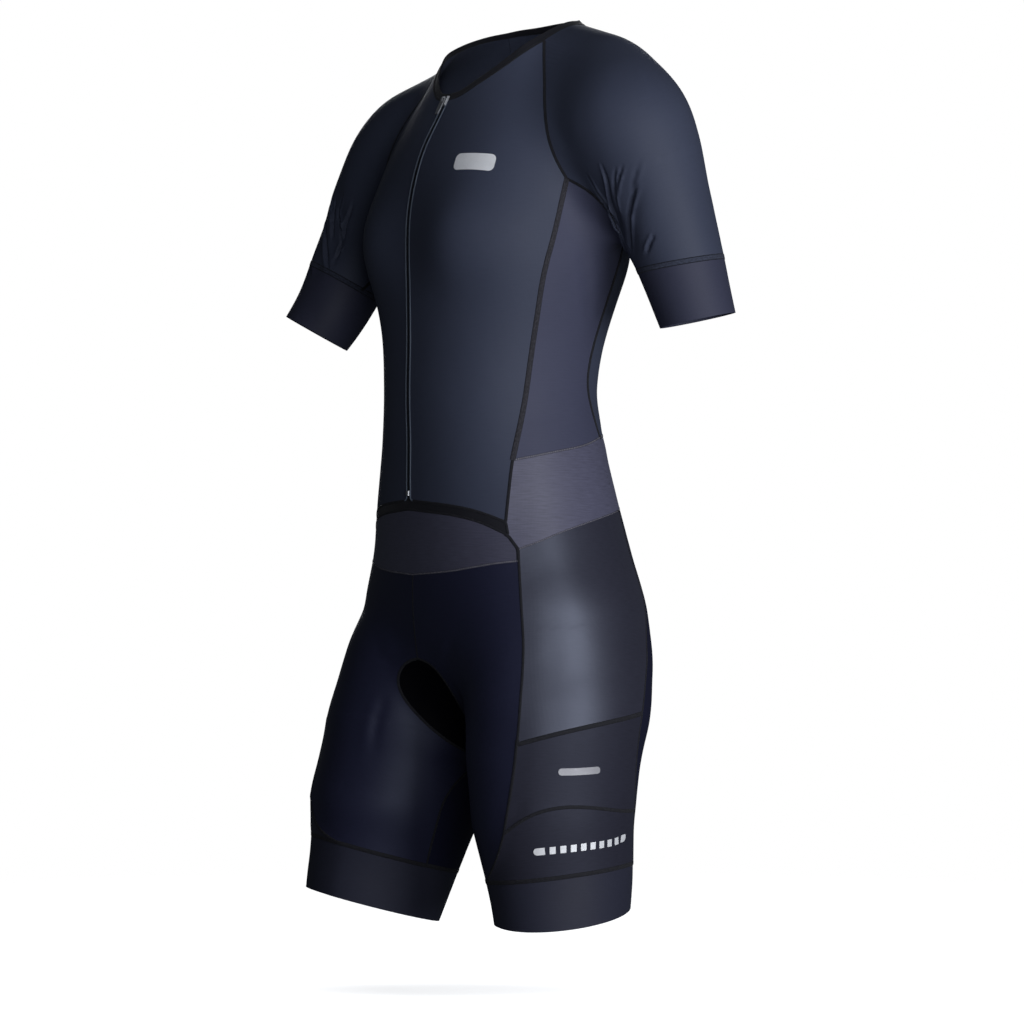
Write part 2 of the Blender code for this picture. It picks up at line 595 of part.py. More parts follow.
def zip_parts(middle):
    place, frame = zip_frame(middle, SLIDER_DOWN)
    across, up, out = frame.T
    base = place + SLIDER_CLEAR * out
    body = box("zip_slider", SLIDER, base, frame, "metal", 0.86)
    top = base + SLIDER[2] * out
    arch = frame_plate("zip_bridge", ARCH, ARCH_WINDOW, -BRIDGE_WIDTH / 2, BRIDGE_WIDTH / 2,
                       (top, up, out, across), "metal")
    join_solids(body, arch)
    pivot = top + 0.0011 * out
    tab = frame_plate("zip_pull_tab", TAB, TAB_WINDOW, -TAB_THICK / 2, TAB_THICK / 2,
                      (np.zeros(3), across, -up, out), "metal")
    hinge = bpy.data.objects.new("zip_pull_hinge", None)
    COLLECTION.objects.link(hinge)
    hinge.location = pivot
    tab.parent = hinge
    place, frame = zip_frame(middle[::-1], END_STOP[1] / 2 + 0.004)
    frame[:, 1:] *= -1 if frame[1, 2] > 0 else 1
    box("zip_end_stop", END_STOP, place + SLIDER_CLEAR * frame[:, 2], frame, "metal", 0.8)


# ---------------------------------------------------------------- the whole cut
CLOTH = {"neck_binding": "binding", "front_hem_band": "binding", "zip_coil": "coil", "back": "jersey",
         "waist_yoke": "sheen_knit", "front_yoke": "sheen_knit", "seat_gusset": "gusset"}
for hand in ("left", "right"):
    CLOTH.update({f"front_{hand}": "jersey", f"side_{hand}": "side_knit", f"sleeve_{hand}": "jersey",
                  f"sleeve_cuff_{hand}": "side_knit", f"leg_front_{hand}": "short_knit",
                  f"leg_back_{hand}": "short_knit", f"hip_side_{hand}": "sheen_knit",
                  f"leg_side_mid_{hand}": "sheen_knit", f"leg_side_lower_{hand}": "side_knit",
                  f"leg_band_{hand}": "side_knit"})


def half_seams(side):
    """Every seam of one half of the suit, by name."""
    body = [on_body(p, side) for p in PRINCESS_TOP[side] + PRINCESS]
    hip_front = [on_leg(p, side) for p in HIP_FRONT]
    hip_back = [on_leg(p, side) for p in HIP_BACK]
    band = LEG_LOOPS[side][0]
    meets = round_loop(band, [BAND_FRONT_TURN, BAND_BACK_TURN, INSEAM_TURN], side, (0, -1, 0))
    cut = {}

    def draw(names, points, *counts):
        cut.update(zip(names, seam(points, *counts)))

    def body_line(table):
        return [on_body(p, side) for p in table]

    draw(["neck_front"], body_line(NECK_FRONT), (5, FRONT_COLS))
    draw(["neck_shoulder"], body_line(NECK_SHOULDER), (2, NECK_COLS))
    draw(["neck_back"], body_line(NECK_BACK), (2, BACK_COLS))
    draw(["raglan_front", "armhole_front"], body_line(RAGLAN_FRONT[side]), (4, RAGLAN_ROWS),
         (len(RAGLAN_FRONT[side]) - 1, ARMHOLE_FRONT))
    draw(["raglan_back", "armhole_back"], body_line(RAGLAN_BACK[side]), (5, BACK_RAGLAN_ROWS), (7, ARMHOLE_BACK))
    draw(["zip"], body_line(ZIP_LINE), (4, RAGLAN_ROWS + SIDE_ROWS + HEM_ROWS))
    draw(["princess", "yoke_front", "hem_end", "yoke_side", "yoke_foot", "hip_front", "mid_front", "low_front"],
         body + hip_front + [meets[0]],
         (5, SIDE_ROWS), (7, HEM_ROWS), (8, 1), (9, 2), (10, 1), (13, HIP_ROWS), (15, MID_ROWS), (17, LOWER_ROWS))
    draw(["back_seam"], body_line(BACK_SEAM_TOP[side] + BACK_SEAM), (5, SIDE_ROWS))
    draw(["front_hem"], body_line(FRONT_HEM), (3, FRONT_COLS))
    draw(["hem_foot"], body_line(HEM_BAND), (3, FRONT_COLS))
    draw(["yoke_point"], body_line(YOKE_POINT), (3, FRONT_COLS + 1))
    draw(["waist_side", "waist_back"], body_line(WAIST_TOP), (4, BACK_COLS), (6, BACK_COLS))
    draw(["hip_top", "seat_top"], body_line(WAIST_BOTTOM), (4, BACK_COLS), (6, BACK_COLS))
    draw(["hip_back", "mid_back", "low_back"], [on_body(WAIST_BOTTOM[4], side)] + hip_back + [meets[1]],
         (5, HIP_ROWS + 1), (7, MID_ROWS), (8, LOWER_ROWS))
    draw(["centre_front"], body_line(CENTRE_FRONT), (2, CROTCH_ROWS))
    draw(["centre_back"], body_line(CENTRE_BACK), (3, SEAT_ROWS))
    draw(["gusset_front"], body_line(GUSSET_FRONT), (5, ARCH_ROWS))
    draw(["gusset_back"], body_line(GUSSET_BACK), (5, ARCH_ROWS))
    draw(["inseam"], [on_body(GUSSET_BACK[0], side)] + [on_leg(p, side) for p in INSEAM] + [meets[2]],
         (3, INSEAM_ROWS))
    draw(["upper_seam"], [on_leg(p, side) for p in UPPER_SEAM], (3, BACK_COLS))
    draw(["lower_seam"], [on_leg(p, side) for p in LOWER_SEAM], (6, BACK_COLS))

    turns = (np.linspace(INSEAM_TURN, BAND_FRONT_TURN, FRONT_COLS + 2),
             np.linspace(BAND_FRONT_TURN, BAND_BACK_TURN, BACK_COLS + 1),
             np.linspace(BAND_BACK_TURN, INSEAM_TURN + 360, BACK_COLS + 1))
    for name, turn in zip(("band_front", "band_side", "band_back"), turns):
        cut[name] = round_loop(band, turn, side, (0, -1, 0))
    cut["leg_hem"] = round_loop(LEG_LOOPS[side][1], joined(*turns), side, (0, -1, 0))

    ahead, over = ARMHOLE_FRONT + RAGLAN_ROWS, ARMHOLE_BACK + BACK_RAGLAN_ROWS
    turns = joined(np.linspace(0, 160, ahead + 1), np.linspace(160, 200, NECK_COLS + 1),
                   np.linspace(200, 360, over + 1))
    inwards = (-SIDE_SIGN[side], 0, 0)
    cut["cuff_seam"], cut["cuff_hem"] = (round_loop(loop, turns, side, inwards) for loop in SLEEVE_LOOPS[side])
    draw(["underarm"], [cut["armhole_front"][-1], cut["cuff_seam"][0]], (1, SLEEVE_ROWS))
    return cut


def half_pieces(side, cut):
    """The pieces that each half of the suit has for itself."""
    def piece(name, *edges):
        wall(f"{name}_{side}", patch(*edges))

    piece("front", cut["neck_front"], cut["front_hem"], cut["zip"],
          joined(cut["raglan_front"], cut["princess"], cut["yoke_front"]))
    piece("side", joined(cut["armhole_front"], cut["armhole_back"][::-1]), cut["waist_side"],
          cut["princess"], cut["back_seam"])
    piece("leg_front", cut["yoke_point"], cut["band_front"],
          joined(cut["centre_front"], cut["gusset_front"], cut["inseam"]),
          joined(cut["hip_front"], cut["mid_front"], cut["low_front"]))
    piece("hip_side", cut["hip_top"], cut["upper_seam"], joined(cut["yoke_foot"], cut["hip_front"]), cut["hip_back"])
    piece("leg_side_mid", cut["upper_seam"], cut["lower_seam"], cut["mid_front"], cut["mid_back"])
    piece("leg_side_lower", cut["lower_seam"], cut["band_side"], cut["low_front"], cut["low_back"])
    piece("leg_back", cut["seat_top"], cut["band_back"], joined(cut["hip_back"], cut["mid_back"], cut["low_back"]),
          joined(cut["centre_back"], cut["gusset_back"][::-1], cut["inseam"]))
    wall(f"leg_band_{side}", tube(joined(cut["band_front"], cut["band_side"], cut["band_back"]), cut["leg_hem"],
                                  BAND_ROWS), closed=True)
    armhole = joined(cut["armhole_front"][::-1], cut["raglan_front"][::-1], cut["neck_shoulder"],
                     cut["raglan_back"], cut["armhole_back"])
    line = np.array([ring[:3] for part in ("shoulder_", "arm_") for ring in LIMBS[part + side].rings])
    wall(f"sleeve_{side}", sleeve_grid(armhole, cut["cuff_seam"], cut["underarm"], line))
    wall(f"sleeve_cuff_{side}", tube(cut["cuff_seam"], cut["cuff_hem"], CUFF_ROWS), closed=True)


def shared_pieces(left, right):
    """The pieces that reach over both halves, from the left to the right."""
    def over(name):
        return joined(left[name], right[name][::-1])

    neck = joined(over_line(left), over_line(right)[::-1])
    along = np.gradient(neck, axis=0)
    facing = normals(neck[None])[0]
    upwards = np.cross(facing, along)
    upwards *= np.sign(upwards[:, 2].sum()) / np.linalg.norm(upwards, axis=1)[:, None]
    edge = onto_form(neck + BINDING * upwards)
    wall("neck_binding", np.stack([edge, neck]))

    zip_left = np.concatenate([edge[:1], left["zip"]])
    zip_right = np.concatenate([edge[-1:], right["zip"]])
    middle = onto_form((zip_left + zip_right) / 2)
    wall("zip_coil", np.stack([zip_left, middle, zip_right], axis=1))

    hem = np.concatenate([left["front_hem"][::-1], middle[-1:], right["front_hem"]])
    foot_middle = onto_form((left["hem_foot"][:1] + right["hem_foot"][:1]) / 2)
    foot = np.concatenate([left["hem_foot"][::-1], foot_middle, right["hem_foot"]])
    wall("front_hem_band", np.stack([hem, foot]))
    wall("front_yoke", patch(foot, joined(left["yoke_point"][::-1], right["yoke_point"]),
                             joined(left["yoke_side"], left["yoke_foot"]),
                             joined(right["yoke_side"], right["yoke_foot"])))
    wall("waist_yoke", patch(joined(left["waist_side"], over("waist_back"), right["waist_side"][::-1]),
                             joined(left["hip_top"], over("seat_top"), right["hip_top"][::-1]),
                             joined(left["yoke_front"], left["hem_end"], left["yoke_side"]),
                             joined(right["yoke_front"], right["hem_end"], right["yoke_side"])))
    wall("back", patch(over("neck_back"), over("waist_back"), joined(left["raglan_back"], left["back_seam"]),
                       joined(right["raglan_back"], right["back_seam"])))
    front, back = ([half[name] for half in (left, right)] for name in ("gusset_front", "gusset_back"))
    wall("seat_gusset", patch(joined(front[0][2::-1], front[1][:3]),
                              joined(back[0][-3:], back[1][-1:-4:-1]),
                              joined(front[0][2:], back[0][:-2]), joined(front[1][2:], back[1][:-2])))
    zip_parts(middle)


def over_line(cut):
    return joined(cut["neck_front"], cut["neck_shoulder"], cut["neck_back"])


def main():
    for thing in list(bpy.data.objects):
        bpy.data.objects.remove(thing, do_unlink=True)
    global COLLECTION, TOOLS, LOOKS
    COLLECTION = bpy.data.collections.new("cycling_skinsuit")
    TOOLS = bpy.data.collections.new("joining_shapes")
    TOOLS.hide_render = True
    for collection in (COLLECTION, TOOLS):
        bpy.context.scene.collection.children.link(collection)
    LOOKS = {
        "jersey": finish("jersey", (0.030, 0.037, 0.055), 0.62),
        "side_knit": finish("side_knit", (0.046, 0.050, 0.078), 0.58),
        "sheen_knit": finish("sheen_knit", (0.072, 0.074, 0.104), 0.45),
        "short_knit": finish("short_knit", (0.018, 0.020, 0.038), 0.50),
        "gusset": finish("gusset", (0.008, 0.008, 0.013), 0.75),
        "binding": finish("binding", (0.014, 0.014, 0.020), 0.75),
        "coil": finish("coil", (0.050, 0.055, 0.075), 0.45),
        "metal": finish("metal", (0.52, 0.53, 0.55), 0.35, 1.0),
    }
    halves = {side: half_seams(side) for side in SIDE_SIGN}
    for side, cut in halves.items():
        half_pieces(side, cut)
    shared_pieces(halves["left"], halves["right"])


if __name__ == "__main__":
    main()
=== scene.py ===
"""Cloth, seams, zip and reflective trims of a filled-out cycling skinsuit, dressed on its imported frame."""

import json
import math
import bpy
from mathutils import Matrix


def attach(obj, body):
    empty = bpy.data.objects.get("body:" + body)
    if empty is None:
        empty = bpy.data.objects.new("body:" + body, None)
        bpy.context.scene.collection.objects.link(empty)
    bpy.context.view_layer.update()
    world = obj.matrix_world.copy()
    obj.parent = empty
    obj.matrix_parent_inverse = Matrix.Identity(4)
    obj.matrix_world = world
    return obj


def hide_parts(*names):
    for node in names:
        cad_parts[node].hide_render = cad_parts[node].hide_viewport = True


bl_info = {
    "name": "Cycling Skinsuit",
    "version": (1, 0, 0),
    "blender": (4, 5, 0),
    "location": "3D View > Sidebar > Skinsuit",
    "description": "Cuts, folds and sews a cycling skinsuit, and fits its zip and reflective trims",
    "category": "Object",
}

from collections import namedtuple
from functools import cache

import bmesh
import bpy
import numpy as np
from bpy.props import FloatProperty, FloatVectorProperty, IntProperty, PointerProperty
from mathutils import Vector, noise
from mathutils.bvhtree import BVHTree
from mathutils.kdtree import KDTree

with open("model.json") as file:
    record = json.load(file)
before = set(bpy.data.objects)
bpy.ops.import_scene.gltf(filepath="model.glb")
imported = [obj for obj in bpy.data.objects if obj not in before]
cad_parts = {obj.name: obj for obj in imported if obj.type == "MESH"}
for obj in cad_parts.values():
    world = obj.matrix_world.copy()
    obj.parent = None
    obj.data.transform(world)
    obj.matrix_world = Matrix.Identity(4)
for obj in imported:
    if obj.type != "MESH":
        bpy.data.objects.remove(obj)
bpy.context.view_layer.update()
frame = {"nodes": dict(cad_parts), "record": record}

CAD_WALL = 0.0012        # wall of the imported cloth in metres, which tells its edge faces from its skins
WALL_SLACK = 0.00003     # how near to that an edge face's short side comes
MERGE = 0.00001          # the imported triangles' points are joined within this
CLOTH_UV = "cloth"       # metres on the cloth: round the limb, then along it
SIDES = ("left", "right")

# ---------------------------------------------------------------- the cut, folds and seams

# Middle lines that the cloth is measured round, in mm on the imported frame: the girth's usual radius, then
# points from the top down.
Line = namedtuple("Line", "radius points")
LINES = {
    "body": Line(100, [(0, 18, 40), (0, 10, -250), (0, 5, -500), (0, 20, -700)]),
    "arm_left": Line(48, [(50, 58, -27), (108, 54, -38), (160, 42, -78), (178, 58, -124),
                          (185, 70, -166), (193, 82, -211), (200, 93, -255), (211, 110, -320)]),
    "arm_right": Line(48, [(-50, 56, -27), (-106, 44, -49), (-156, 30, -84), (-185, -8, -142),
                           (-197, -24, -190), (-209, -43, -239), (-218, -58, -265), (-246, -95, -335)]),
    "leg_left": Line(70, [(80, 20, -380), (83, 22, -550), (90, 16, -622), (102, 1, -720),
                          (109, 5, -785), (134, -2, -1000)]),
    "leg_right": Line(70, [(-80, 5, -380), (-83, -2, -535), (-95, -14, -650), (-102, -36, -720),
                           (-109, -48, -785), (-134, -100, -1000)]),
}

# Each cut piece: its node, its look, its line, its cut in metres with its flat area, and how many times its
# mesh is made finer.
Piece = namedtuple("Piece", "node look line wide long area fine", defaults=(2,))
TOP_PIECES = [
    Piece("front_left", "jersey", "body", .16, .46, .0580),
    Piece("front_right", "jersey", "body", .16, .46, .0560),
    Piece("back", "jersey", "body", .29, .43, .0980),
    Piece("side_left", "side_knit", "body", .13, .28, .0208),
    Piece("side_right", "side_knit", "body", .12, .28, .0175),
]
SLEEVE_PIECES = [
    Piece("sleeve_left", "sleeve_knit", "arm_left", .31, .30, .0655, 3),
    Piece("sleeve_right", "sleeve_knit", "arm_right", .31, .30, .0636, 3),
    Piece("sleeve_cuff_left", "cuff_knit", "arm_left", .23, .065, .0132),
    Piece("sleeve_cuff_right", "cuff_knit", "arm_right", .225, .065, .0135),
]
YOKE_PIECES = [
    Piece("waist_yoke", "yoke_knit", "body", .48, .115, .0347),
    Piece("front_yoke", "front_yoke_knit", "body", .235, .065, .0120),
]
SHORT_PIECES = [
    Piece("leg_front_left", "short_knit", "leg_left", .17, .33, .0400),
    Piece("leg_front_right", "short_knit", "leg_right", .17, .33, .0383),
    Piece("leg_back_left", "seat_knit", "leg_left", .24, .36, .0530),
    Piece("leg_back_right", "seat_knit", "leg_right", .24, .36, .0595),
    Piece("hip_side_left", "hip_knit", "leg_left", .18, .235, .0278),
    Piece("hip_side_right", "hip_knit", "leg_right", .18, .235, .0270),
    Piece("leg_side_mid_left", "thigh_knit", "leg_left", .155, .105, .0107),
    Piece("leg_side_mid_right", "thigh_knit", "leg_right", .155, .105, .0115),
    Piece("leg_side_lower_left", "thigh_knit", "leg_left", .14, .09, .0093),
    Piece("leg_side_lower_right", "thigh_knit", "leg_right", .14, .09, .0088),
    Piece("seat_gusset", "gusset_knit", "body", .08, .31, .0152),
]
BAND_PIECES = [
    Piece("leg_band_left", "band_knit", "leg_left", .37, .06, .0167),
    Piece("leg_band_right", "band_knit", "leg_right", .39, .064, .0223),
]
CUT_PIECES = TOP_PIECES + SLEEVE_PIECES + YOKE_PIECES + SHORT_PIECES + BAND_PIECES

# Each trim: its look, and the cut piece that it goes with.
Trim = namedtuple("Trim", "look host")
TRIMS = {"neck_binding": Trim("binding", "back"), "front_hem_band": Trim("binding", "front_yoke"),
         "zip_coil": Trim("zip_tape", "front_left")}
TRIM_FINE, TRIM_BEVEL, BEVEL_CORNER = 2, 0.0004, math.radians(55)
SMOOTH_CLOTH, SMOOTH_LAID = math.radians(50), math.radians(60)      # sharper edges than these stay sharp

GUSSET = "seat_gusset"            # its border is one smooth curve
GUSSET_MIDDLE = (0, .01, -.50)    # a place above it, inside the suit, in metres

# Folds on the left side, as points on or near the cloth, in mm. Each is a soft trough with a low
# ridge on one side, +1 or -1 across the run. The right side has the same, turned over.
Fold = namedtuple("Fold", "line deep wide ridge points")
FOLDS = [
    Fold("arm", 2.4, 1.7, 1, [(158, 0, -131), (159, 10, -146), (164, 20, -160), (165, 30, -177),
                              (169, 36, -194)]),
    Fold("arm", 2.8, 1.6, -1, [(182, -1, -123), (181, 6, -137), (171, 19, -154), (167, 28, -171),
                               (171, 33, -190)]),
    Fold("arm", 2.2, 1.6, 1, [(194, 5, -126), (189, 7, -136), (181, 13, -151), (177, 22, -167)]),
    Fold("arm", 1.8, 1.5, 1, [(201, 8, -124), (191, 9, -138), (184, 13, -151)]),
    Fold("arm", 2.6, 2.1, 1, [(205, 22, -140), (193, 23, -158), (185, 28, -176), (174, 38, -198)]),
    Fold("arm", 1.8, 1.8, -1, [(211, 37, -186), (206, 36, -193), (198, 37, -203)]),
    Fold("arm", 0.7, 2.4, 1, [(214, 18, -119), (205, 18, -134), (197, 21, -150)]),
    Fold("arm", 1.9, 4.2, -1, [(150, 96, -120), (158, 104, -150), (152, 92, -178)]),
    Fold("arm", 1.6, 4.6, -1, [(172, 108, -128), (172, 114, -156), (160, 100, -188)]),
    Fold("arm", 1.0, 5.5, 1, [(192, 112, -150), (186, 118, -176), (172, 112, -202)]),
    Fold("body", 1.1, 6.0, 1, [(112, 12, -190), (116, 22, -222), (112, 34, -262)]),
    Fold("body", 0.9, 7.0, -1, [(92, 88, -185), (98, 76, -225), (96, 68, -262)]),
    Fold("body", 0.8, 8.0, 1, [(70, 78, -330), (40, 88, -338), (8, 92, -334)]),
    Fold("body", 0.7, 8.0, -1, [(84, 70, -362), (50, 84, -372), (14, 90, -368)]),
    Fold("body", 0.5, 9.0, 1, [(98, -44, -352), (112, -14, -350), (106, 22, -344)]),
    Fold("leg", 1.2, 5.0, 1, [(30, -80, -612), (44, -78, -640), (52, -70, -672)]),
    Fold("leg", 0.8, 6.0, -1, [(56, -84, -560), (42, -84, -578), (26, -78, -590)]),
    Fold("leg", 1.0, 6.0, 1, [(60, 110, -668), (80, 98, -676), (104, 84, -672)]),
    Fold("leg", 0.8, 7.0, -1, [(52, 86, -690), (74, 84, -700), (98, 78, -698)]),
]

FOLD_STEP = 0.0012       # between the points of a fold's run, in metres
FOLD_REACH = 4           # how many times its own width a fold reaches
FOLD_THROUGH = 0.012     # a fold fades out over about this distance through the suit
FOLD_DEPTH, FOLD_SWING = 0.8, 0.35      # a fold's usual depth, and how much it changes along its run
RIDGE_SHARE, RIDGE_PLACE = 0.5, 1.9     # the ridge's height and how far off it is, in depths and widths
NARROW_FOLD = 3.0        # folds narrower than this, in mm, get a finer mesh round them
FOLD_MARGIN = 0.0075     # how far round a narrow fold the mesh is made finer, in metres
RIGHT_FOLDS = 40         # where the numbers of the right side's folds start
RIGHT_ARM_DROP = 0.006   # the right arm's folds lie this much lower than the left one's

# What runs over each seam: both pieces, the width and rise in mm, and the look.
Seam = namedtuple("Seam", "one other wide rise look", defaults=("dark_stitch",))
SEAMS = [
    Seam("front", "sleeve", 3.4, .45),
    Seam("back", "sleeve", 3.6, .45),
    Seam("front", "side", 5.6, .45, "flatlock"),
    Seam("back", "side", 4.6, .45),
    Seam("side", "sleeve", 3.0, .40),
    Seam("sleeve", "sleeve", 3.0, .40),
    Seam("sleeve", "sleeve_cuff", 5.6, .40, "double_stitch"),
    Seam("side", "waist_yoke", 2.2, .35, "light_stitch"),
    Seam("back", "waist_yoke", 2.4, .35, "light_stitch"),
    Seam("front", "waist_yoke", 3.0, .40),
    Seam("front", "front_hem_band", 2.6, .40),
    Seam("front_hem_band", "front_yoke", 2.2, .35),
    Seam("front_hem_band", "waist_yoke", 2.8, .40),
    Seam("front_yoke", "waist_yoke", 3.2, .45),
    Seam("front_yoke", "hip_side", 3.4, .40),
    Seam("front_yoke", "leg_front", 2.2, .35, "light_stitch"),
    Seam("hip_side", "waist_yoke", 1.5, .30, "light_stitch"),
    Seam("leg_back", "waist_yoke", 1.5, .30, "light_stitch"),
    Seam("hip_side", "leg_side_mid", 4.4, .55),
    Seam("leg_side_lower", "leg_side_mid", 3.4, .40),
    Seam("hip_side", "leg_front", 2.6, .40),
    Seam("leg_front", "leg_side_mid", 3.0, .40),
    Seam("leg_front", "leg_side_lower", 2.6, .35),
    Seam("leg_band", "leg_front", 4.2, .45),
    Seam("leg_band", "leg_side_lower", 4.2, .45),
    Seam("leg_back", "leg_band", 4.2, .45),
    Seam("leg_front", "seat_gusset", 2.8, .40),
    Seam("leg_back", "seat_gusset", 2.8, .40),
    Seam("leg_front_left", "leg_front_right", 1.5, .30),
    Seam("front_left", "zip_coil", 1.9, .75, "zip_edge"),
    Seam("front_right", "zip_coil", 1.9, .75, "zip_edge"),
]
PLAIN_SEAM = Seam("", "", 2.6, .35)
UNSEWN = {("neck_binding", "zip_coil"), ("front_hem_band", "zip_coil")}
SEAM_NAMES = {"flatlock": "flatlock_", "dark_stitch": "flatlock_", "double_stitch": "double_stitch_",
              "light_stitch": "stitch_line_", "zip_edge": "zip_edge_"}

# Cross-section of a seam: how far across it each point is, and its height as a share of the rise.
SEAM_SHAPE = [(-1, -.35), (-.92, .55), (-.6, 1.0), (0, .86), (.6, 1.0), (.92, .55), (1, -.35), (0, -.6)]
CORD_SHAPE = [(-1, -.2), (-.8, .6), (-.3, 1.0), (.3, 1.0), (.8, .6), (1, -.2), (0, -.4)]

CORNER = math.radians(55)    # a border that turns more than this at a point has a corner there
JOIN_REACH = 0.0010          # how near the borders of three pieces come where their seams meet, in metres
SEAM_STEP = 0.0025           # between the cross-sections of a seam
SEAM_REACH = 0.0016          # how far a seam looks for the piece on its other side
SEAM_POINTS = 4              # a stretch of border with no more points than this isn't sewn
OWN_BORDER = 24              # points this near along one border aren't the other side of a seam

# ---------------------------------------------------------------- marks and zip, in mm

# A reflective mark: its size, how round its two ends are, and its slant.
Mark = namedtuple("Mark", "wide high round_start round_end slant")
CHEST_PATCH = ([(52, -78, -114), (75, -69, -115), (97, -59, -117)], Mark(44, 17, 5, 5, 0))
THIGH_BAR = ([(166, -40, -678), (172, -17, -678), (176, 7, -677)], Mark(42, 6.5, 3.2, 3.2, 0))
DASH_RUN = [(149, -55, -752), (156, -48, -751), (172, -19, -748), (174, 25, -745), (172, 35, -743),
            (168, 50, -741)]
DASHES = [Mark(10.6, 6.6, 3.2, .4, 0)] + [Mark(5.6, 6.6, .3, .3, .06)] * 8 + [Mark(8.4, 6.4, .4, 2.6, .35)]
DASH_GAP = 4.3
DASH_LIFT = (15, 4)      # the right row runs this much higher at its front and its back end
MARK_CELL = 3            # between the rows and columns of a mark's mesh
MARK_ARC = [1 - math.cos(math.pi / 8 * step) for step in range(5)]     # columns of a rounded end
MARK_RISE, RUN_STEP, MARK_AHEAD = 0.00035, 0.002, 0.004     # in metres: over the cloth, then along a run

# The zip's coil: how far it runs down the front, and one turn's size.
COIL_TOP, COIL_FOOT, COIL_STEP = -44, -427, -2.0
TURN_PITCH, TURN_WIDE, TURN_THICK, TURN_SIDES = 1.15, 2.7, .62, 6
TURN_SPINE = [(-1, .35), (-.75, .95), (0, 1.1), (.75, .95), (1, .35)]    # how far across, and how thick there
TURN_FLAT = .8                               # how wide along the zip a turn is, as a share of its thickness
TURN_STAGGER, TURN_RISE = .00035, .00025     # in metres: each turn to its side, and over the tape

# ---------------------------------------------------------------- looks

WHITE, BLACK = (1, 1, 1, 1), (0, 0, 0, 1)
BLUE_SHINE = (.72, .79, 1, 1)     # of the sheen knits
SHEEN_TINT = (.55, .60, .80, 1)

# Each knit: its colour and the share of it, its wales and courses in metres, how rough and how glossy it is,
# and how strongly its streaks, ribs and tones show.
Knit = namedtuple("Knit", "look colour share wale course rough gloss sheen streak rib tones shine",
                  defaults=(.06, 0.0, .14, WHITE))
KNITS = [
    Knit("jersey", "jersey", 1, .0009, .0007, .62, .14, .02),
    Knit("sleeve_knit", "jersey", 1, .0009, .0007, .62, .14, .02),
    Knit("side_knit", "side_knit", 1, .0010, .0008, .62, .14, .02, .07, .05),
    Knit("cuff_knit", "side_knit", .76, .0010, .0008, .62, .14, .02, .06, .04),
    Knit("yoke_knit", "yoke_knit", 1, .0010, .0008, .50, .26, .03, .20, .04, .34),
    Knit("front_yoke_knit", "yoke_knit", .76, .0010, .0008, .50, .26, .03, .16, .04, .30),
    Knit("hip_knit", "yoke_knit", .30, .0010, .0008, .45, .42, .03, .16, .03, .26, BLUE_SHINE),
    Knit("thigh_knit", "yoke_knit", .27, .0010, .0008, .56, .16, .03, .16, .05, .26, BLUE_SHINE),
    Knit("short_knit", "short_knit", 1, .0009, .0007, .50, .24, .01, .10, .02, .22, BLUE_SHINE),
    # The seat knit is the short knit at 0.8 and less glossy. Its darker colour is painted shade on the leg
    # backs, whose inner sides lie in shade between the legs.
    Knit("seat_knit", "short_knit", .8, .0009, .0007, .60, .04, .01, .10, .02, .22),
    Knit("band_knit", "side_knit", .44, .0010, .0008, .62, .14, .02, .08, .03, .2),
    Knit("gusset_knit", "gusset", 1, .0011, .0009, .60, .03, .0, .05),
]
RIB_PITCH = 0.0026
STREAKS_ROUND, STREAKS_ALONG, FUZZ, TONES = 90, 900, 1500, 9.0     # how fine each is, per metre

# ---------------------------------------------------------------- stage, in metres and degrees

WORLD_LIGHT = (.78, .87, 1, 1)
LAMP_TINT = (.95, .97, 1)

# The square soft lights: how far round and how high they stand, how far away, and their side.
Lamp = namedtuple("Lamp", "turn rise reach side")
LAMPS = {"key": Lamp(96, 4, 2.6, 1.3), "fill": Lamp(64, 4, 2.6, 1.0), "back": Lamp(238, 18, 2.8, 1.4)}
LAMP_AIM = (0, 0, -.42)
NECK_LAMP, NECK_AIM, NECK_CONE = (1.90, -1.35, -.05), (-.045, .035, -.018), math.radians(4.4)
NECK_SOFTNESS = 0.08
CAMERA_PLACE, SENSOR = (3.2886, -2.2771, -0.440), 36
FLOOR_LEVEL, FLOOR_SIZE, FLOOR_GLOW, FLOOR_TINT = -0.905, 3.4, .80, (.90, .905, .92)
FLOOR_FADE = (0.35, 1.5)     # the floor fades into the white surround between these radii
SHADOW_PLACE, SHADOW_SIZE = (-0.087, 0.026), (0.20, 0.075)     # the soft pool of shade on the floor
SHADOW_ALONG, SHADOW_DEPTH = (0.574, 0.819), 0.74      # its long direction, and how bright its middle stays

LOOKS = {}       # materials by name
SKINS = {}       # outer skin of each cloth piece: points, faces and facing, for what is laid on the cloth


# ---------------------------------------------------------------- properties

def metres(name, description, default):
    return FloatProperty(name=name, description=description, default=default, min=0, subtype="DISTANCE",
                         unit="LENGTH", precision=5)


def tint(name, description, default):
    return FloatVectorProperty(name=name, description=description, default=default, size=3, min=0, max=1,
                               subtype="COLOR")


def power(name, description, default):
    return FloatProperty(name=name, description=description, default=default, min=0, subtype="POWER",
                         unit="POWER")


class SkinsuitCloth(bpy.types.PropertyGroup):
    wall: metres("Wall", "Thickness of the cloth", 0.0010)
    trim_wall: metres("Trim wall", "Thickness of the binding and the hem band", 0.0014)
    folds: FloatProperty(name="Folds", description="How deep the folds are, as a share of their table",
                         default=1.45, min=0, max=2, subtype="FACTOR")
    unevenness: metres("Unevenness", "Slow swell of the cloth between its seams", 0.00025)


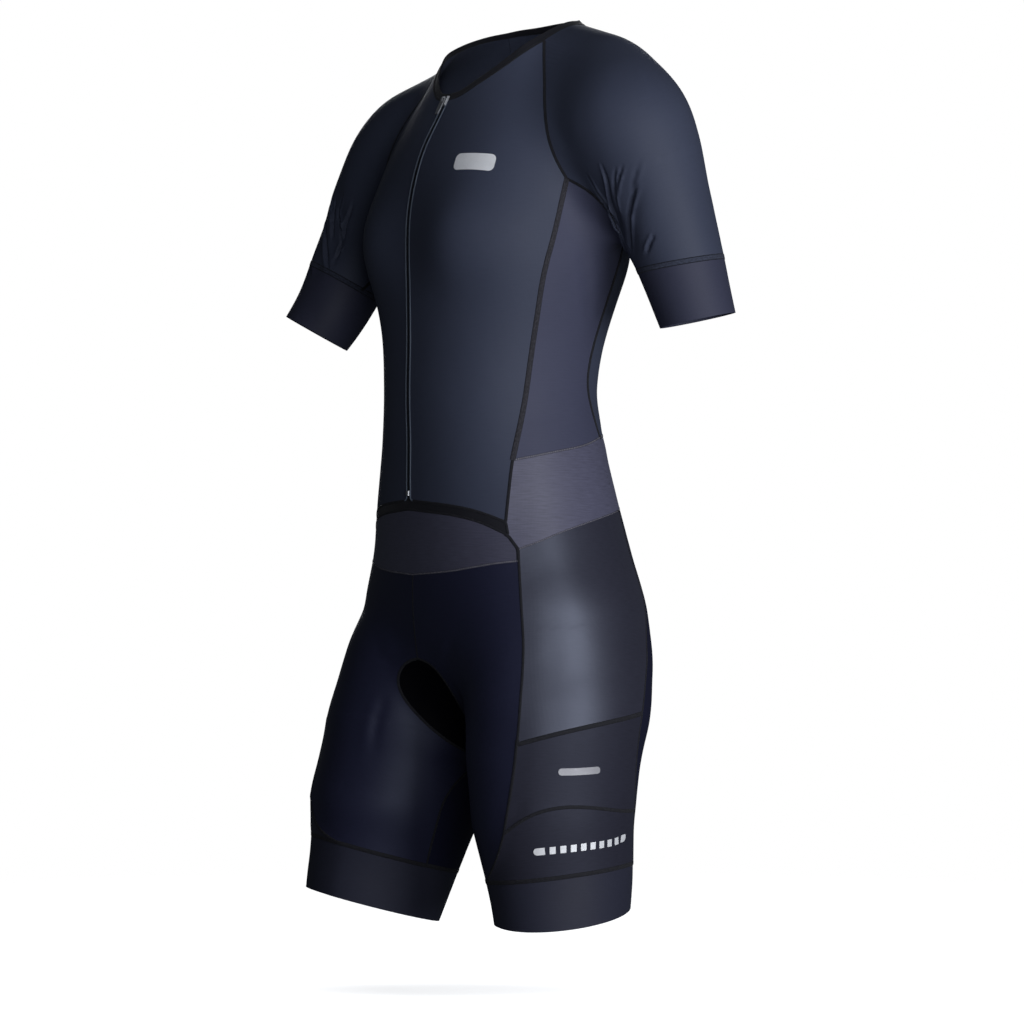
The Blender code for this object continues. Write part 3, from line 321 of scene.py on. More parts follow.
class SkinsuitColours(bpy.types.PropertyGroup):
    jersey: tint("Jersey", "Body and sleeves", (.0310, .0365, .0600))
    side_knit: tint("Side knit", "Side panels, cuffs and bands", (.0350, .0375, .0650))
    yoke_knit: tint("Yoke knit", "Waist yoke with a soft sheen", (.0500, .0500, .0790))
    short_knit: tint("Short knit", "Fronts and backs of the legs", (.0095, .0102, .0245))
    gusset: tint("Gusset", "Seat gusset", (.0016, .0015, .0026))
    binding: tint("Binding", "Neck binding and front hem band", (.0048, .0049, .0082))
    seam: tint("Seam thread", "Flatlock cover thread", (.0310, .0300, .0380))
    dark_thread: tint("Dark thread", "Stitches over most seams", (.0125, .0128, .0175))
    light_thread: tint("Light thread", "Fine stitch lines of the yokes", (.1500, .1450, .1700))
    zip_edge: tint("Zip edge", "Welded edges of the zip's tape", (.0600, .0750, .1050))
    coil: tint("Coil", "Nylon turns of the zip", (.0150, .0170, .0240))
    reflective: tint("Reflective film", "Dashes, patch and thigh bar", (.6000, .6100, .6400))
    mark: tint("Thigh bar", "Dull grey film of the thigh bars", (.1900, .1900, .2100))
    metal: tint("Zip metal", "Slider, pull tab and end stop", (.1500, .1540, .1680))


class SkinsuitStage(bpy.types.PropertyGroup):
    key: power("Key light", "Power of the large soft light", 64)
    fill: power("Fill light", "Power of the weak light from the front", 26)
    back: power("Back light", "Power of the light behind the suit", 26)
    neck: power("Neck light", "Power of the small light into the neck", 140)
    world: FloatProperty(name="Surround", description="How strongly the white world lights the suit",
                         default=0.05, min=0)
    lens: FloatProperty(name="Lens", description="Focal length in mm", default=147.66, min=1)
    turn: IntProperty(name="Turn", description="Camera's azimuth in degrees", default=55)


# ---------------------------------------------------------------- materials

class Value:
    """A shader number that Python's operators work on."""

    def __init__(self, look, socket):
        self.look, self.socket = look, socket

    def math(self, operation, *values):
        """A Math node on the values given, or on this one alone."""
        sockets = dict(enumerate(values or (self,)))
        return self.look.out(self.look.node("ShaderNodeMath", {"operation": operation}, sockets))

    def __add__(self, other):
        return self.math("ADD", self, other)

    __radd__ = __add__

    def __mul__(self, other):
        return self.math("MULTIPLY", self, other)

    __rmul__ = __mul__

    def __sub__(self, other):
        return self.math("SUBTRACT", self, other)

    def __rsub__(self, other):
        return self.math("SUBTRACT", other, self)

    def __truediv__(self, other):
        return self.math("DIVIDE", self, other)

    def __rtruediv__(self, other):
        return self.math("DIVIDE", other, self)

    def sine(self):
        return self.math("SINE")

    def root(self):
        return self.math("SQRT")

    def size(self):
        return self.math("ABSOLUTE")

    def fraction(self):
        return self.math("FRACT")

    def least(self, other):
        return self.math("MINIMUM", self, other)

    def most(self, other):
        return self.math("MAXIMUM", self, other)

    def wave(self, pitch):
        """A smooth wave from 0 to 1 with one turn in each pitch."""
        return (self * (2 * math.pi / pitch)).sine() * 0.5 + 0.5

    def zigzag(self):
        """A wave from -1 to 1 with one turn for each whole number."""
        return (self.fraction() - 0.5).size() * 4 - 1


class Look:
    """One material while its nodes are being laid out."""

    def __init__(self, name, **constants):
        self.material = LOOKS[name] = bpy.data.materials.new("suit_" + name)
        self.material.use_nodes = True
        self.tree = self.material.node_tree
        self.tree.nodes.clear()
        self.shader = self.node("ShaderNodeBsdfPrincipled", {}, constants)
        self.node("ShaderNodeOutputMaterial", {}, {"Surface": self.out(self.shader)})

    def feed(self, slot, value):
        if isinstance(value, Value):
            self.tree.links.new(value.socket, slot)
        else:
            slot.default_value = value

    def node(self, kind, settings, sockets):
        node = self.tree.nodes.new(kind)
        for name, value in settings.items():
            setattr(node, name, value)
        for name, value in sockets.items():
            self.feed(node.inputs[name], value)
        return node

    def out(self, node, name=0):
        return Value(self, node.outputs[name])

    def cloth_place(self):
        """Metres round and along the cloth."""
        place = self.node("ShaderNodeUVMap", {"uv_map": CLOTH_UV}, {})
        parts = self.node("ShaderNodeSeparateXYZ", {}, {0: self.out(place)})
        return self.out(parts, "X"), self.out(parts, "Y")

    def join(self, x, y, z=0.0):
        return self.out(self.node("ShaderNodeCombineXYZ", {}, {"X": x, "Y": y, "Z": z}))

    def grain(self, vector, scale, detail=2.0, rough=0.5):
        texture = self.node("ShaderNodeTexNoise", {"noise_dimensions": "3D"},
                            {"Vector": vector, "Scale": scale, "Detail": detail, "Roughness": rough})
        return self.out(texture, 0)

    def solid_place(self):
        return self.out(self.node("ShaderNodeTexCoord", {}, {}), "Object")

    def ease(self, value, low, high, start=0.0, end=1.0):
        """Smooth step of a value from start to end as it goes from low to high."""
        step = self.node("ShaderNodeMapRange", {"interpolation_type": "SMOOTHSTEP"},
                         {"Value": value, "From Min": low, "From Max": high, "To Min": start, "To Max": end})
        return self.out(step)

    def blend(self, one, other, share):
        """A colour between two others, on the colour sockets of a Mix node."""
        return self.out(self.node("ShaderNodeMix", {"data_type": "RGBA"}, {0: share, 6: one, 7: other}), 2)

    def shade(self, colour, low, high, share):
        """A colour that goes from low to high times itself."""
        dark = tuple(channel * low for channel in colour[:3]) + (1,)
        light = tuple(min(1, channel * high) for channel in colour[:3]) + (1,)
        return self.blend(dark, light, share)

    def finish(self, colour, roughness, height=None, rise=0.0001, strength=0.6):
        self.feed(self.shader.inputs["Base Color"], colour)
        self.feed(self.shader.inputs["Roughness"], roughness)
        if height is not None:
            bump = self.node("ShaderNodeBump", {}, {"Strength": strength, "Distance": rise, "Height": height})
            self.feed(self.shader.inputs["Normal"], self.out(bump))
        return self.material


def knit_look(knit, colour):
    """A knit: wales along the piece, courses round it, soft streaks, and a slow change of tone."""
    look = Look(knit.look, **{"Specular IOR Level": knit.gloss, "Specular Tint": knit.shine,
                              "Sheen Weight": knit.sheen, "Sheen Roughness": 0.45, "Sheen Tint": SHEEN_TINT})
    u, v = look.cloth_place()
    wales = (u * (math.pi / knit.wale)).sine().size()
    courses = (v * (2 * math.pi / knit.course) + wales * 1.5).sine() * 0.5 + 0.5
    loops = wales * 0.6 + courses * 0.4
    streaks = look.grain(look.join(u * STREAKS_ROUND, v * STREAKS_ALONG), 1.0, 2.0)
    tone = look.grain(look.solid_place(), TONES, 2.0)
    fuzz = look.grain(look.join(u * FUZZ, v * FUZZ), 1.0, 3.0, 0.6)
    ribs = v.wave(RIB_PITCH)
    share = loops * 0.35 + streaks * (knit.streak * 6) + tone * 0.45 + ribs * knit.rib
    share = look.ease(share, 0.15, 0.95 + knit.streak * 3)
    colour = look.shade(colour, 1 - knit.tones, 1 + knit.tones, share)
    roughness = look.ease(fuzz * 0.6 + tone * 0.4, 0.3, 0.7, knit.rough - 0.05, knit.rough + 0.06)
    height = loops * 0.5 + fuzz * 0.3 + streaks * 0.2 + ribs * knit.rib
    return look.finish(colour, roughness, height, 0.00012, 0.45)


def flatlock_look(name, ground, thread, edge, least, pitch=0.0024):
    """Cover stitches: two zigzags that cross on a dark ground, between two rows of straight stitches.

    Edge is how far out the seam's rim of painted shade begins, where the cloth dips, and least is the
    share of the thread's colour that the darkest patches keep."""
    look = Look(name, **{"Specular IOR Level": 0.15, "Sheen Weight": 0.03, "Sheen Roughness": 0.5})
    u, v = look.cloth_place()
    wave = (u / pitch).zigzag() * 0.62
    strands = (v - wave).size().least((v + wave).size())
    crossing = look.ease(strands, 0.14, 0.34, 1.0, 0.0)
    dash = look.ease((u / (pitch * 0.5)).zigzag(), -0.5, 0.1)
    row = look.ease((v.size() - 0.74).size(), 0.07, 0.16, 1.0, 0.0) * dash
    mask = crossing.most(row)
    wear = look.grain(look.join(u * 420, v * 1.6), 1.0, 2.0, 0.7)
    patchy = look.ease(wear, 0.42, 0.60, least, 1.0)
    # rim is painted shade: it darkens the seam's edges towards the ground, where the seam dips into the
    # cloth.
    rim = look.ease(v.size(), edge, edge + 0.2, 1.0, 0.25)
    colour = look.blend(ground + (1,), thread + (1,), (mask * 0.4 + 0.6) * patchy * rim)
    return look.finish(colour, look.ease(wear, 0.3, 0.7, 0.62, 0.78), mask + wear * 0.3, 0.0003, 0.8)


def light_stitch_look(name, ground, thread):
    """A fine line of pale thread in short slanting stitches."""
    look = Look(name, **{"Specular IOR Level": 0.3})
    u, v = look.cloth_place()
    slant = ((u / 0.0021) + v * 0.35).zigzag()
    mask = look.ease(slant, -0.35, 0.15) * look.ease(v.size(), 0.45, 0.8, 1.0, 0.0)
    wear = look.grain(look.join(u * 180, v * 1.5), 1.0, 2.0)
    colour = look.blend(ground + (1,), thread + (1,), mask * look.ease(wear, 0.25, 0.75, 0.35, 1.0))
    return look.finish(colour, 0.7, mask, 0.00025, 0.8)


def tape_look(name, colour):
    """Woven zip tape, twilled along its run."""
    look = Look(name, **{"Specular IOR Level": 0.25})
    u, v = look.cloth_place()
    twill = (u + v).wave(0.0011)
    tone = look.grain(look.solid_place(), 60.0, 2.0)
    return look.finish(look.shade(colour, 0.75, 1.2, twill * 0.5 + tone * 0.5), 0.6, twill, 0.0001, 0.5)


def binding_look(name, colour):
    """Elastic binding: fine ribs along the run and a light crease now and then."""
    look = Look(name, **{"Specular IOR Level": 0.2, "Sheen Weight": 0.04})
    u, v = look.cloth_place()
    ribs, cross = v.wave(0.0009), u.wave(0.0012)
    tone = look.grain(look.solid_place(), 45.0, 3.0)
    return look.finish(look.shade(colour, 0.7, 1.3, tone * 0.6 + ribs * 0.4),
                       look.ease(tone, 0.3, 0.7, 0.6, 0.75),
                       ribs * 0.5 + cross * 0.3 + tone * 0.2, 0.0002, 0.6)


def film_look(name, colour):
    """Heat-pressed reflective film: fine bead cells under a dull silver face."""
    look = Look(name, **{"Metallic": 0.25, "Specular IOR Level": 0.5})
    place = look.solid_place()
    cells = look.node("ShaderNodeTexVoronoi", {"feature": "DISTANCE_TO_EDGE"},
                      {"Vector": place, "Scale": 1400.0})
    beads = look.ease(look.out(cells, "Distance"), 0.02, 0.14)
    tone = look.grain(place, 120.0, 3.0)
    return look.finish(look.shade(colour, 0.82, 1.12, beads * 0.4 + tone * 0.6),
                       look.ease(tone, 0.3, 0.7, 0.38, 0.52), beads, 0.00006, 0.5)


def nylon_look(name, colour):
    """Moulded nylon with a slow change of tone."""
    look = Look(name, **{"Specular IOR Level": 0.45})
    tone = look.grain(look.solid_place(), 700.0, 2.0)
    return look.finish(look.shade(colour, 0.8, 1.25, tone), look.ease(tone, 0.3, 0.7, 0.34, 0.48),
                       tone, 0.00004, 0.4)


def metal_look(name, colour):
    """Tumbled zip metal: fine grain, and patches of wear that are lighter and darker at random."""
    look = Look(name, **{"Metallic": 0.5, "Specular IOR Level": 0.5})
    place = look.solid_place()
    grain = look.grain(place, 1500.0, 3.0)
    wear = look.grain(place, 260.0, 2.0)
    return look.finish(look.shade(colour, 0.7, 1.25, wear * 0.7 + grain * 0.3),
                       look.ease(wear, 0.3, 0.7, 0.3, 0.46), grain, 0.00003, 0.5)


def floor_look(name):
    """A bright floor with a soft pool of shade, which fades out into the surround."""
    look = Look(name, **{"Specular IOR Level": 0.1, "Emission Color": WHITE, "Emission Strength": FLOOR_GLOW})
    place = look.solid_place()
    tone = look.grain(place, 2.0, 2.0)
    parts = look.node("ShaderNodeSeparateXYZ", {}, {0: place})
    x, y = look.out(parts, "X"), look.out(parts, "Y")
    reach = (x * x + y * y).root()
    look.feed(look.shader.inputs["Alpha"], look.ease(reach, *FLOOR_FADE, 1.0, 0.0))
    x, y = x - SHADOW_PLACE[0], y - SHADOW_PLACE[1]
    long = (x * SHADOW_ALONG[0] + y * SHADOW_ALONG[1]) / SHADOW_SIZE[0]
    wide = (y * SHADOW_ALONG[0] - x * SHADOW_ALONG[1]) / SHADOW_SIZE[1]
    clear = look.ease(long * long + wide * wide, 0.0, 1.0, SHADOW_DEPTH, 1.0)
    look.feed(look.shader.inputs["Emission Color"], look.blend(BLACK, WHITE, clear))
    return look.finish(look.shade(FLOOR_TINT, 0.985, 1.015, tone), 0.9)


def white_surround(strength):
    """A white world that is seen as white and lights the suit only softly."""
    world = bpy.data.worlds.new("white_surround")
    world.use_nodes = True
    nodes, links = world.node_tree.nodes, world.node_tree.links
    seen, lit = nodes["Background"], nodes.new("ShaderNodeBackground")
    seen.inputs[0].default_value, lit.inputs[0].default_value = WHITE, WORLD_LIGHT
    lit.inputs[1].default_value = strength
    mix, path = nodes.new("ShaderNodeMixShader"), nodes.new("ShaderNodeLightPath")
    links.new(path.outputs["Is Camera Ray"], mix.inputs[0])
    links.new(lit.outputs[0], mix.inputs[1])
    links.new(seen.outputs[0], mix.inputs[2])
    links.new(mix.outputs[0], nodes["World Output"].inputs["Surface"])
    return world


def times(colour, share=1.0):
    return tuple(channel * share for channel in colour)


def suit_looks():
    """Every material of the suit, made once."""
    if LOOKS:
        return
    c = bpy.context.scene.skinsuit_colours
    for knit in KNITS:
        knit_look(knit, times(getattr(c, knit.colour), knit.share))
    binding_look("binding", times(c.binding))
    flatlock_look("flatlock", times(c.binding, .8), times(c.seam), .78, .45)
    flatlock_look("dark_stitch", times(c.binding, .6), times(c.dark_thread), .70, .4)
    flatlock_look("double_stitch", times(c.binding, .6), times(c.jersey, 1.1), .58, .6)
    # The light stitch's ground is the yoke's colour halved: painted shade along the stitch line.
    light_stitch_look("light_stitch", times(c.yoke_knit, .5), times(c.light_thread))
    tape_look("zip_tape", times(c.binding))
    tape_look("zip_edge", times(c.zip_edge))
    nylon_look("coil_nylon", times(c.coil))
    film_look("reflective_film", times(c.reflective))
    # The chest patch's film is the dashes' film made 1.18 times brighter. This is painted light, as the lamps
    # light the patch less than the dashes.
    film_look("patch_film", times(c.reflective, 1.18))
    film_look("dull_film", times(c.mark))
    metal_look("zip_metal", times(c.metal))


# ---------------------------------------------------------------- cloth

def metre_points(points):
    return np.array(points, float) / 1000


def line_points(name):
    return metre_points(LINES[name].points)


def distances(run):
    """How far along a run each of its points is."""
    return np.concatenate([[0], np.cumsum(np.linalg.norm(np.diff(run, axis=0), axis=1))])


def place_on(run, gaps, far):
    """The point, or points, at a distance along a run."""
    return np.stack([np.interp(far, gaps, run[:, k]) for k in range(3)], axis=-1)


def unit(vectors):
    return vectors / np.linalg.norm(vectors, axis=1)[:, None]


def point_tree(points):
    tree = KDTree(len(points))
    for i, point in enumerate(points):
        tree.insert(Vector(point), i)
    tree.balance()
    return tree


def gather(parts):
    """Several lists of points, faces and places as one."""
    points, faces, places = [], [], []
    for more_points, more_faces, more_places in parts:
        start = len(points)
        points += list(more_points)
        faces += [tuple(start + i for i in face) for face in more_faces]
        places += list(more_places)
    return points, faces, places


def skin_tree(skins):
    """The faces of several skins, to lay things on."""
    points, faces, _ = gather(skins)
    return BVHTree.FromPolygons([Vector(p) for p in points], faces)


def line_place(points, line):
    """For each point, the nearest place on a line: the centre and how far along it is."""
    best = np.full(len(points), np.inf)
    centre, along = np.zeros_like(points), np.zeros(len(points))
    run = 0.0
    for a, b in zip(line[:-1], line[1:]):
        step = b - a
        length = np.linalg.norm(step)
        share = np.clip((points - a) @ step / length ** 2, 0, 1)
        near = a + share[:, None] * step
        gap = np.linalg.norm(points - near, axis=1)
        closer = gap < best
        best = np.where(closer, gap, best)
        centre[closer] = near[closer]
        along = np.where(closer, run + share * length, along)
        run += length
    return centre, along


def other_side(points, kind):
    """Points of the left arm, leg or body, carried over to the right one."""
    points = metre_points(points)
    if kind == "body":
        return points * (-1, 1, 1)
    left, right = line_points(kind + "_left"), line_points(kind + "_right")
    drop = RIGHT_ARM_DROP if kind == "arm" else 0
    carried = []
    for x, y, z in points:
        here = place_on(left, -left[:, 2], -z)
        there = place_on(right, -right[:, 2], -z)
        carried.append((there[0] - (x - here[0]), there[1] + y - here[1], z - drop))
    return np.array(carried)


def leg_points(points, side):
    """Points of the left leg in mm, on either leg in metres."""
    return metre_points(points) if side == "left" else other_side(points, "leg")


def smooth_run(points, step):
    """A run of points as an even, rounded line."""
    points = np.asarray(points, float)
    for _ in range(3):
        cut = [points[0]]
        for a, b in zip(points[:-1], points[1:]):
            cut += [0.75 * a + 0.25 * b, 0.25 * a + 0.75 * b]
        points = np.array(cut + [points[-1]])
    gaps = distances(points)
    count = max(2, int(round(gaps[-1] / step)) + 1)
    return place_on(points, gaps, np.linspace(0, gaps[-1], count))


def fold_depth(points, facing, fold, run, number):
    """How far a fold moves each point along its facing.

    It is a trough with a low ridge beside it, uneven along its run and fading at both ends."""
    wide, deep = fold.wide / 1000, fold.deep / 1000
    low, high = run.min(axis=0) - FOLD_REACH * wide, run.max(axis=0) + FOLD_REACH * wide
    near = np.all((points > low) & (points < high), axis=1)
    depth = np.zeros(len(points))
    if not near.any():
        return depth
    p, n = points[near], facing[near]
    closest = np.linalg.norm(p[:, None] - run[None], axis=2).argmin(axis=1)
    tangent = unit(np.gradient(run, axis=0))
    away = p - run[closest]
    through = (away * n).sum(axis=1)
    across = (away * np.cross(n, tangent[closest])).sum(axis=1) / wide * fold.ridge
    off = np.linalg.norm(away - through[:, None] * n, axis=1) / wide
    share = closest / (len(run) - 1)
    uneven = np.array([FOLD_DEPTH + FOLD_SWING * noise.noise(Vector((number * 3.7, k * 7.0, 0)))
                       for k in share])
    fade = np.sin(np.pi * np.clip(share, 0.02, 0.98)) ** 0.7 * uneven
    fade *= np.clip(1.6 - np.abs(through) / FOLD_THROUGH, 0, 1)
    trough = np.exp(-off ** 2)
    side = np.clip(across, 0, None)
    ridge = np.exp(-(side - RIDGE_PLACE) ** 2) * (across > 0) * np.exp(-(off - np.abs(across)) ** 2)
    depth[near] = deep * fade * (RIDGE_SHARE * ridge - trough)
    return depth


@cache
def packed_tree():
    """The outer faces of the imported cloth, to lay lines on."""
    skins = []
    for piece in CUT_PIECES:
        bm = outer_skin(piece.node, piece.line)
        bm.verts.index_update()
        skins.append(([v.co.copy() for v in bm.verts], [[v.index for v in f.verts] for f in bm.faces], []))
        bm.free()
    return skin_tree(skins)


@cache
def fold_runs():
    """Every fold on both sides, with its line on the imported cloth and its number."""
    rows = []
    for number, fold in enumerate(FOLDS):
        rows.append((fold, metre_points(fold.points), number))
        turned = fold._replace(ridge=-fold.ridge)
        rows.append((turned, other_side(fold.points, fold.line), number + RIGHT_FOLDS))
    return [(fold, onto(packed_tree(), smooth_run(points, FOLD_STEP)), number)
            for fold, points, number in rows]


def onto(tree, run):
    """A run's points, set onto the nearest cloth."""
    return np.array([tree.find_nearest(Vector(p))[0] for p in run])


def lay_folds(mesh):
    """Moves a skin's points along their facing by every fold that reaches them, and by a slow swell."""
    cloth = bpy.context.scene.skinsuit_cloth
    points, facing = mesh_points(mesh), mesh_facing(mesh)
    depth = np.zeros(len(points))
    for fold, run, number in fold_runs():
        depth += fold_depth(points, facing, fold, run, number) * cloth.folds
    swell = [noise.noise(Vector(p) * 22) + 0.5 * noise.noise(Vector(p) * 47 + Vector((5, 1, 2)))
             for p in points]
    depth += np.array(swell) * cloth.unevenness
    mesh.vertices.foreach_set("co", (points + depth[:, None] * facing).ravel())
    mesh.update()


def finer_at_folds(mesh):
    """Cuts the faces near the narrow folds once more, so that the folds come out crisp."""
    line = np.concatenate([run for fold, run, _ in fold_runs() if fold.wide < NARROW_FOLD])
    points = mesh_points(mesh)
    low, high = points.min(axis=0) - FOLD_MARGIN, points.max(axis=0) + FOLD_MARGIN
    line = line[np.all((line > low) & (line < high), axis=1)]
    if not len(line):
        return
    tree = point_tree(line)
    bm = bmesh.new()
    bm.from_mesh(mesh)
    near = [f for f in bm.faces if tree.find(f.calc_center_median())[2] < FOLD_MARGIN]
    edges = list({e for f in near for e in f.edges if not e.is_boundary})
    bmesh.ops.subdivide_edges(bm, edges=edges, cuts=1, use_grid_fill=True)
    bm.to_mesh(mesh)
    bm.free()


def mesh_points(mesh):
    points = np.zeros(len(mesh.vertices) * 3)
    mesh.vertices.foreach_get("co", points)
    return points.reshape(-1, 3)


def mesh_facing(mesh):
    return np.array([n.vector[:] for n in mesh.vertex_normals])


def islands_of(bm):
    """The groups of faces that hang together."""
    bm.faces.ensure_lookup_table()
    bm.faces.index_update()
    islands, seen = [], set()
    for face in bm.faces:
        if face.index in seen:
            continue
        island, queue = [], [face]
        seen.add(face.index)
        while queue:
            f = queue.pop()
            island.append(f)
            for g in (g for e in f.edges for g in e.link_faces if g.index not in seen):
                seen.add(g.index)
                queue.append(g)
        islands.append(island)
    return islands


def outer_skin(node, line):
    """The outer face of a packed cloth wall, with its loose triangles joined and its edge faces taken off."""
    bm = bmesh.new()
    bm.from_mesh(frame["nodes"][node].data)
    bmesh.ops.remove_doubles(bm, verts=bm.verts, dist=MERGE)
    rim = [f for f in bm.faces if any(abs(e.calc_length() - CAD_WALL) < WALL_SLACK for e in f.edges)]
    bmesh.ops.delete(bm, geom=rim, context="FACES")
    centres = line_points(line)

    def outwards(island):
        middles = np.array([f.calc_center_median()[:] for f in island])
        centre = GUSSET_MIDDLE if node == GUSSET else line_place(middles, centres)[0]
        facing = np.array([f.normal[:] for f in island]) * np.array([f.calc_area() for f in island])[:, None]
        return ((middles - centre) * facing).sum()

    inner = sorted(islands_of(bm), key=outwards)[:-1]
    bmesh.ops.delete(bm, geom=[f for island in inner for f in island], context="FACES")
    return bm


@cache
def border_points():
    """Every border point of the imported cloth, to find where the seams of three pieces meet."""
    points, nodes = [], []
    for node, line in [(piece.node, piece.line) for piece in CUT_PIECES] + [(node, "body") for node in TRIMS]:
        bm = outer_skin(node, line)
        border = [v.co.copy() for v in bm.verts if v.is_boundary]
        points += border
        nodes += [node] * len(border)
        bm.free()
    return point_tree(points), nodes


def border_neighbours(vertex):
    """The steps from a border point to the next ones on both sides, or None off the border."""
    border = [e for e in vertex.link_edges if e.is_boundary]
    return [e.other_vert(vertex).co - vertex.co for e in border] if len(border) == 2 else None


@cache
def round_border():
    """The border points of the gusset, and how far its rounding draws each one in.

    That is a sixth of the sum of the steps to both points next to it, as Subdivision Surface moves them."""
    bm = outer_skin(GUSSET, "body")
    rows = [(v.co.copy(), border_neighbours(v)) for v in bm.verts]
    bm.free()
    rows = [(point, (steps[0] + steps[1]) / 6) for point, steps in rows if steps]
    return point_tree([point for point, _ in rows]), [shift for _, shift in rows]


def hold_corners(bm, node):
    """Keeps a border in place at its corners and where seams meet, when its mesh is made finer.

    The gusset has no corners, and what ends on it follows its rounding."""
    tree, nodes = border_points()
    rounded, shifts = round_border()
    crease = bm.verts.layers.float.new("crease_vert")
    for vertex in bm.verts:
        steps = border_neighbours(vertex)
        if not steps:
            continue
        meet = {nodes[i] for _, i, _ in tree.find_range(vertex.co, JOIN_REACH)}
        _, i, gap = rounded.find(vertex.co)
        if gap < JOIN_REACH:
            if node != GUSSET and len(meet) > 2:
                vertex.co += shifts[i]
                vertex[crease] = 1.0
        elif len(meet) > 2 or math.pi - steps[0].angle(steps[1]) > CORNER:
            vertex[crease] = 1.0


def cloth_uv(mesh, line):
    """Metres on the cloth for each corner: round the middle line, then along it."""
    points = mesh_points(mesh)
    centre, along = line_place(points, line_points(line))
    off = points - centre
    middle = math.atan2(*(off.mean(axis=0)[:2]))
    angle = np.arctan2(off[:, 0], off[:, 1]) - middle
    angle = (angle + math.pi) % (2 * math.pi) - math.pi
    radius = LINES[line].radius / 1000
    layer = mesh.uv_layers.new(name=CLOTH_UV)
    for face in mesh.polygons:
        first = angle[face.vertices[0]]
        for corner, vertex in zip(face.loop_indices, face.vertices):
            turn = angle[vertex]
            turn += 2 * math.pi * round((first - turn) / (2 * math.pi))
            layer.data[corner].uv = (turn * radius, along[vertex])


def pick(piece):
    """Selects one piece alone."""
    bpy.ops.object.select_all(action="DESELECT")
    piece.select_set(True)
    bpy.context.view_layer.objects.active = piece


def new_piece(name, data):
    """An object for a mesh, a lamp or a camera, in the scene."""
    piece = bpy.data.objects.new(name, data)
    bpy.context.scene.collection.objects.link(piece)
    return piece


def smooth_faces(piece, angle):
    """Smooths the shading, but for edges sharper than an angle."""
    pick(piece)
    bpy.ops.object.shade_smooth_by_angle(angle=angle)


def apply(piece, kind, **settings):
    """Adds a modifier and applies it."""
    pick(piece)
    modifier = piece.modifiers.new(kind.title(), kind)
    for name, value in settings.items():
        setattr(modifier, name, value)
    bpy.ops.object.modifier_apply(modifier=modifier.name)


def cut_cloth(node, line, fine, look, wall, bevel=0.0):
    """One cut piece: its skin made finer, folded, and given a wall inwards."""
    bm = outer_skin(node, line)
    bmesh.ops.join_triangles(bm, faces=bm.faces, angle_face_threshold=1.3, angle_shape_threshold=2.4,
                             topology_influence=1.5)
    hold_corners(bm, node)
    mesh = bpy.data.meshes.new(node + "_cloth")
    bm.to_mesh(mesh)
    bm.free()
    piece = new_piece(node + "_cloth", mesh)
    apply(piece, "SUBSURF", levels=fine, render_levels=fine, boundary_smooth="PRESERVE_CORNERS")
    mesh = piece.data
    finer_at_folds(mesh)
    lay_folds(mesh)
    SKINS[node] = mesh_points(mesh), [tuple(f.vertices) for f in mesh.polygons], mesh_facing(mesh)
    cloth_uv(mesh, line)
    mesh.polygons.foreach_set("use_smooth", [True] * len(mesh.polygons))
    mesh.materials.append(LOOKS[look])
    apply(piece, "SOLIDIFY", thickness=wall, offset=-1.0, use_even_offset=False, use_rim=True)
    if bevel:
        apply(piece, "BEVEL", width=bevel, segments=2, limit_method="ANGLE", angle_limit=BEVEL_CORNER)
    smooth_faces(piece, SMOOTH_CLOTH)
    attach(piece, "suit")
    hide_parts(node)
    slot_of(node)
    return piece


def slot_of(node):
    return next(part["material_slot"] for part in frame["record"]["subparts"] if part["node"] == node)


def cut_pieces(pieces):
    """Cuts a group of pieces. The trims are made before them."""
    suit_looks()
    wall = bpy.context.scene.skinsuit_cloth.wall
    for row in pieces:
        piece = cut_cloth(row.node, row.line, row.fine, row.look, wall)
        trims = [bpy.data.objects[name + "_cloth"] for name, trim in TRIMS.items() if trim.host == row.node]


# ---------------------------------------------------------------- what is laid on the cloth

def suit_tree():
    return skin_tree(SKINS.values())


def border_loops(skin):
    """The edge loops of a skin, as lists of point numbers in order."""
    _, faces, _ = skin
    edges = {(a, b): True for face in faces for a, b in zip(face, face[1:] + face[:1])}
    follow = {a: b for a, b in edges if (b, a) not in edges}
    loops = []
    while follow:
        start = next(iter(follow))
        loop, here = [start], follow.pop(start)
        while here != start and here in follow:
            loop.append(here)
            here = follow.pop(here)
        loops.append(loop)
    return loops


# A point of a skin's border: its piece, the number of its loop, its place in that, and the loop's length.
Border = namedtuple("Border", "node loop place length point")


def mate_of(row, rows, tree):
    """The piece on the other side of a border point, or None."""
    mate, nearest = None, math.inf
    for _, j, gap in tree.find_range(Vector(row.point), SEAM_REACH):
        other = rows[j]
        apart = abs(other.place - row.place)
        apart = min(apart, row.length - apart)
        own = (other.node, other.loop) == (row.node, row.loop) and apart <= OWN_BORDER
        if not own and gap < nearest:
            mate, nearest = other.node, gap
    return mate


def sewn_runs():
    """Every stretch of border along which two pieces meet: their names and the points of the run."""
    rows = []
    for node, skin in SKINS.items():
        for number, loop in enumerate(border_loops(skin)):
            rows += [Border(node, number, place, len(loop), skin[0][i]) for place, i in enumerate(loop)]
    tree = point_tree([row.point for row in rows])
    mates = [mate_of(row, rows, tree) for row in rows]
    runs, start = [], 0
    while start < len(rows):
        node, length = rows[start].node, rows[start].length
        block = list(range(start, start + length))
        start += length
        changes = [k for k in range(length) if mates[block[k]] != mates[block[k - 1]]]
        stretches = [[block[k % length] for k in range(a - 1, b + 1)]
                     for a, b in zip(changes, changes[1:] + [length + k for k in changes[:1]])]
        for stretch in stretches or [block + block[:1]]:
            mate = mates[stretch[1]]
            if mate is not None and node <= mate and len(stretch) > SEAM_POINTS:
                runs.append((node, mate, [rows[i].point for i in stretch]))
    return runs


def plain_name(node):
    for side in SIDES:
        node = node.removesuffix("_" + side)
    return node


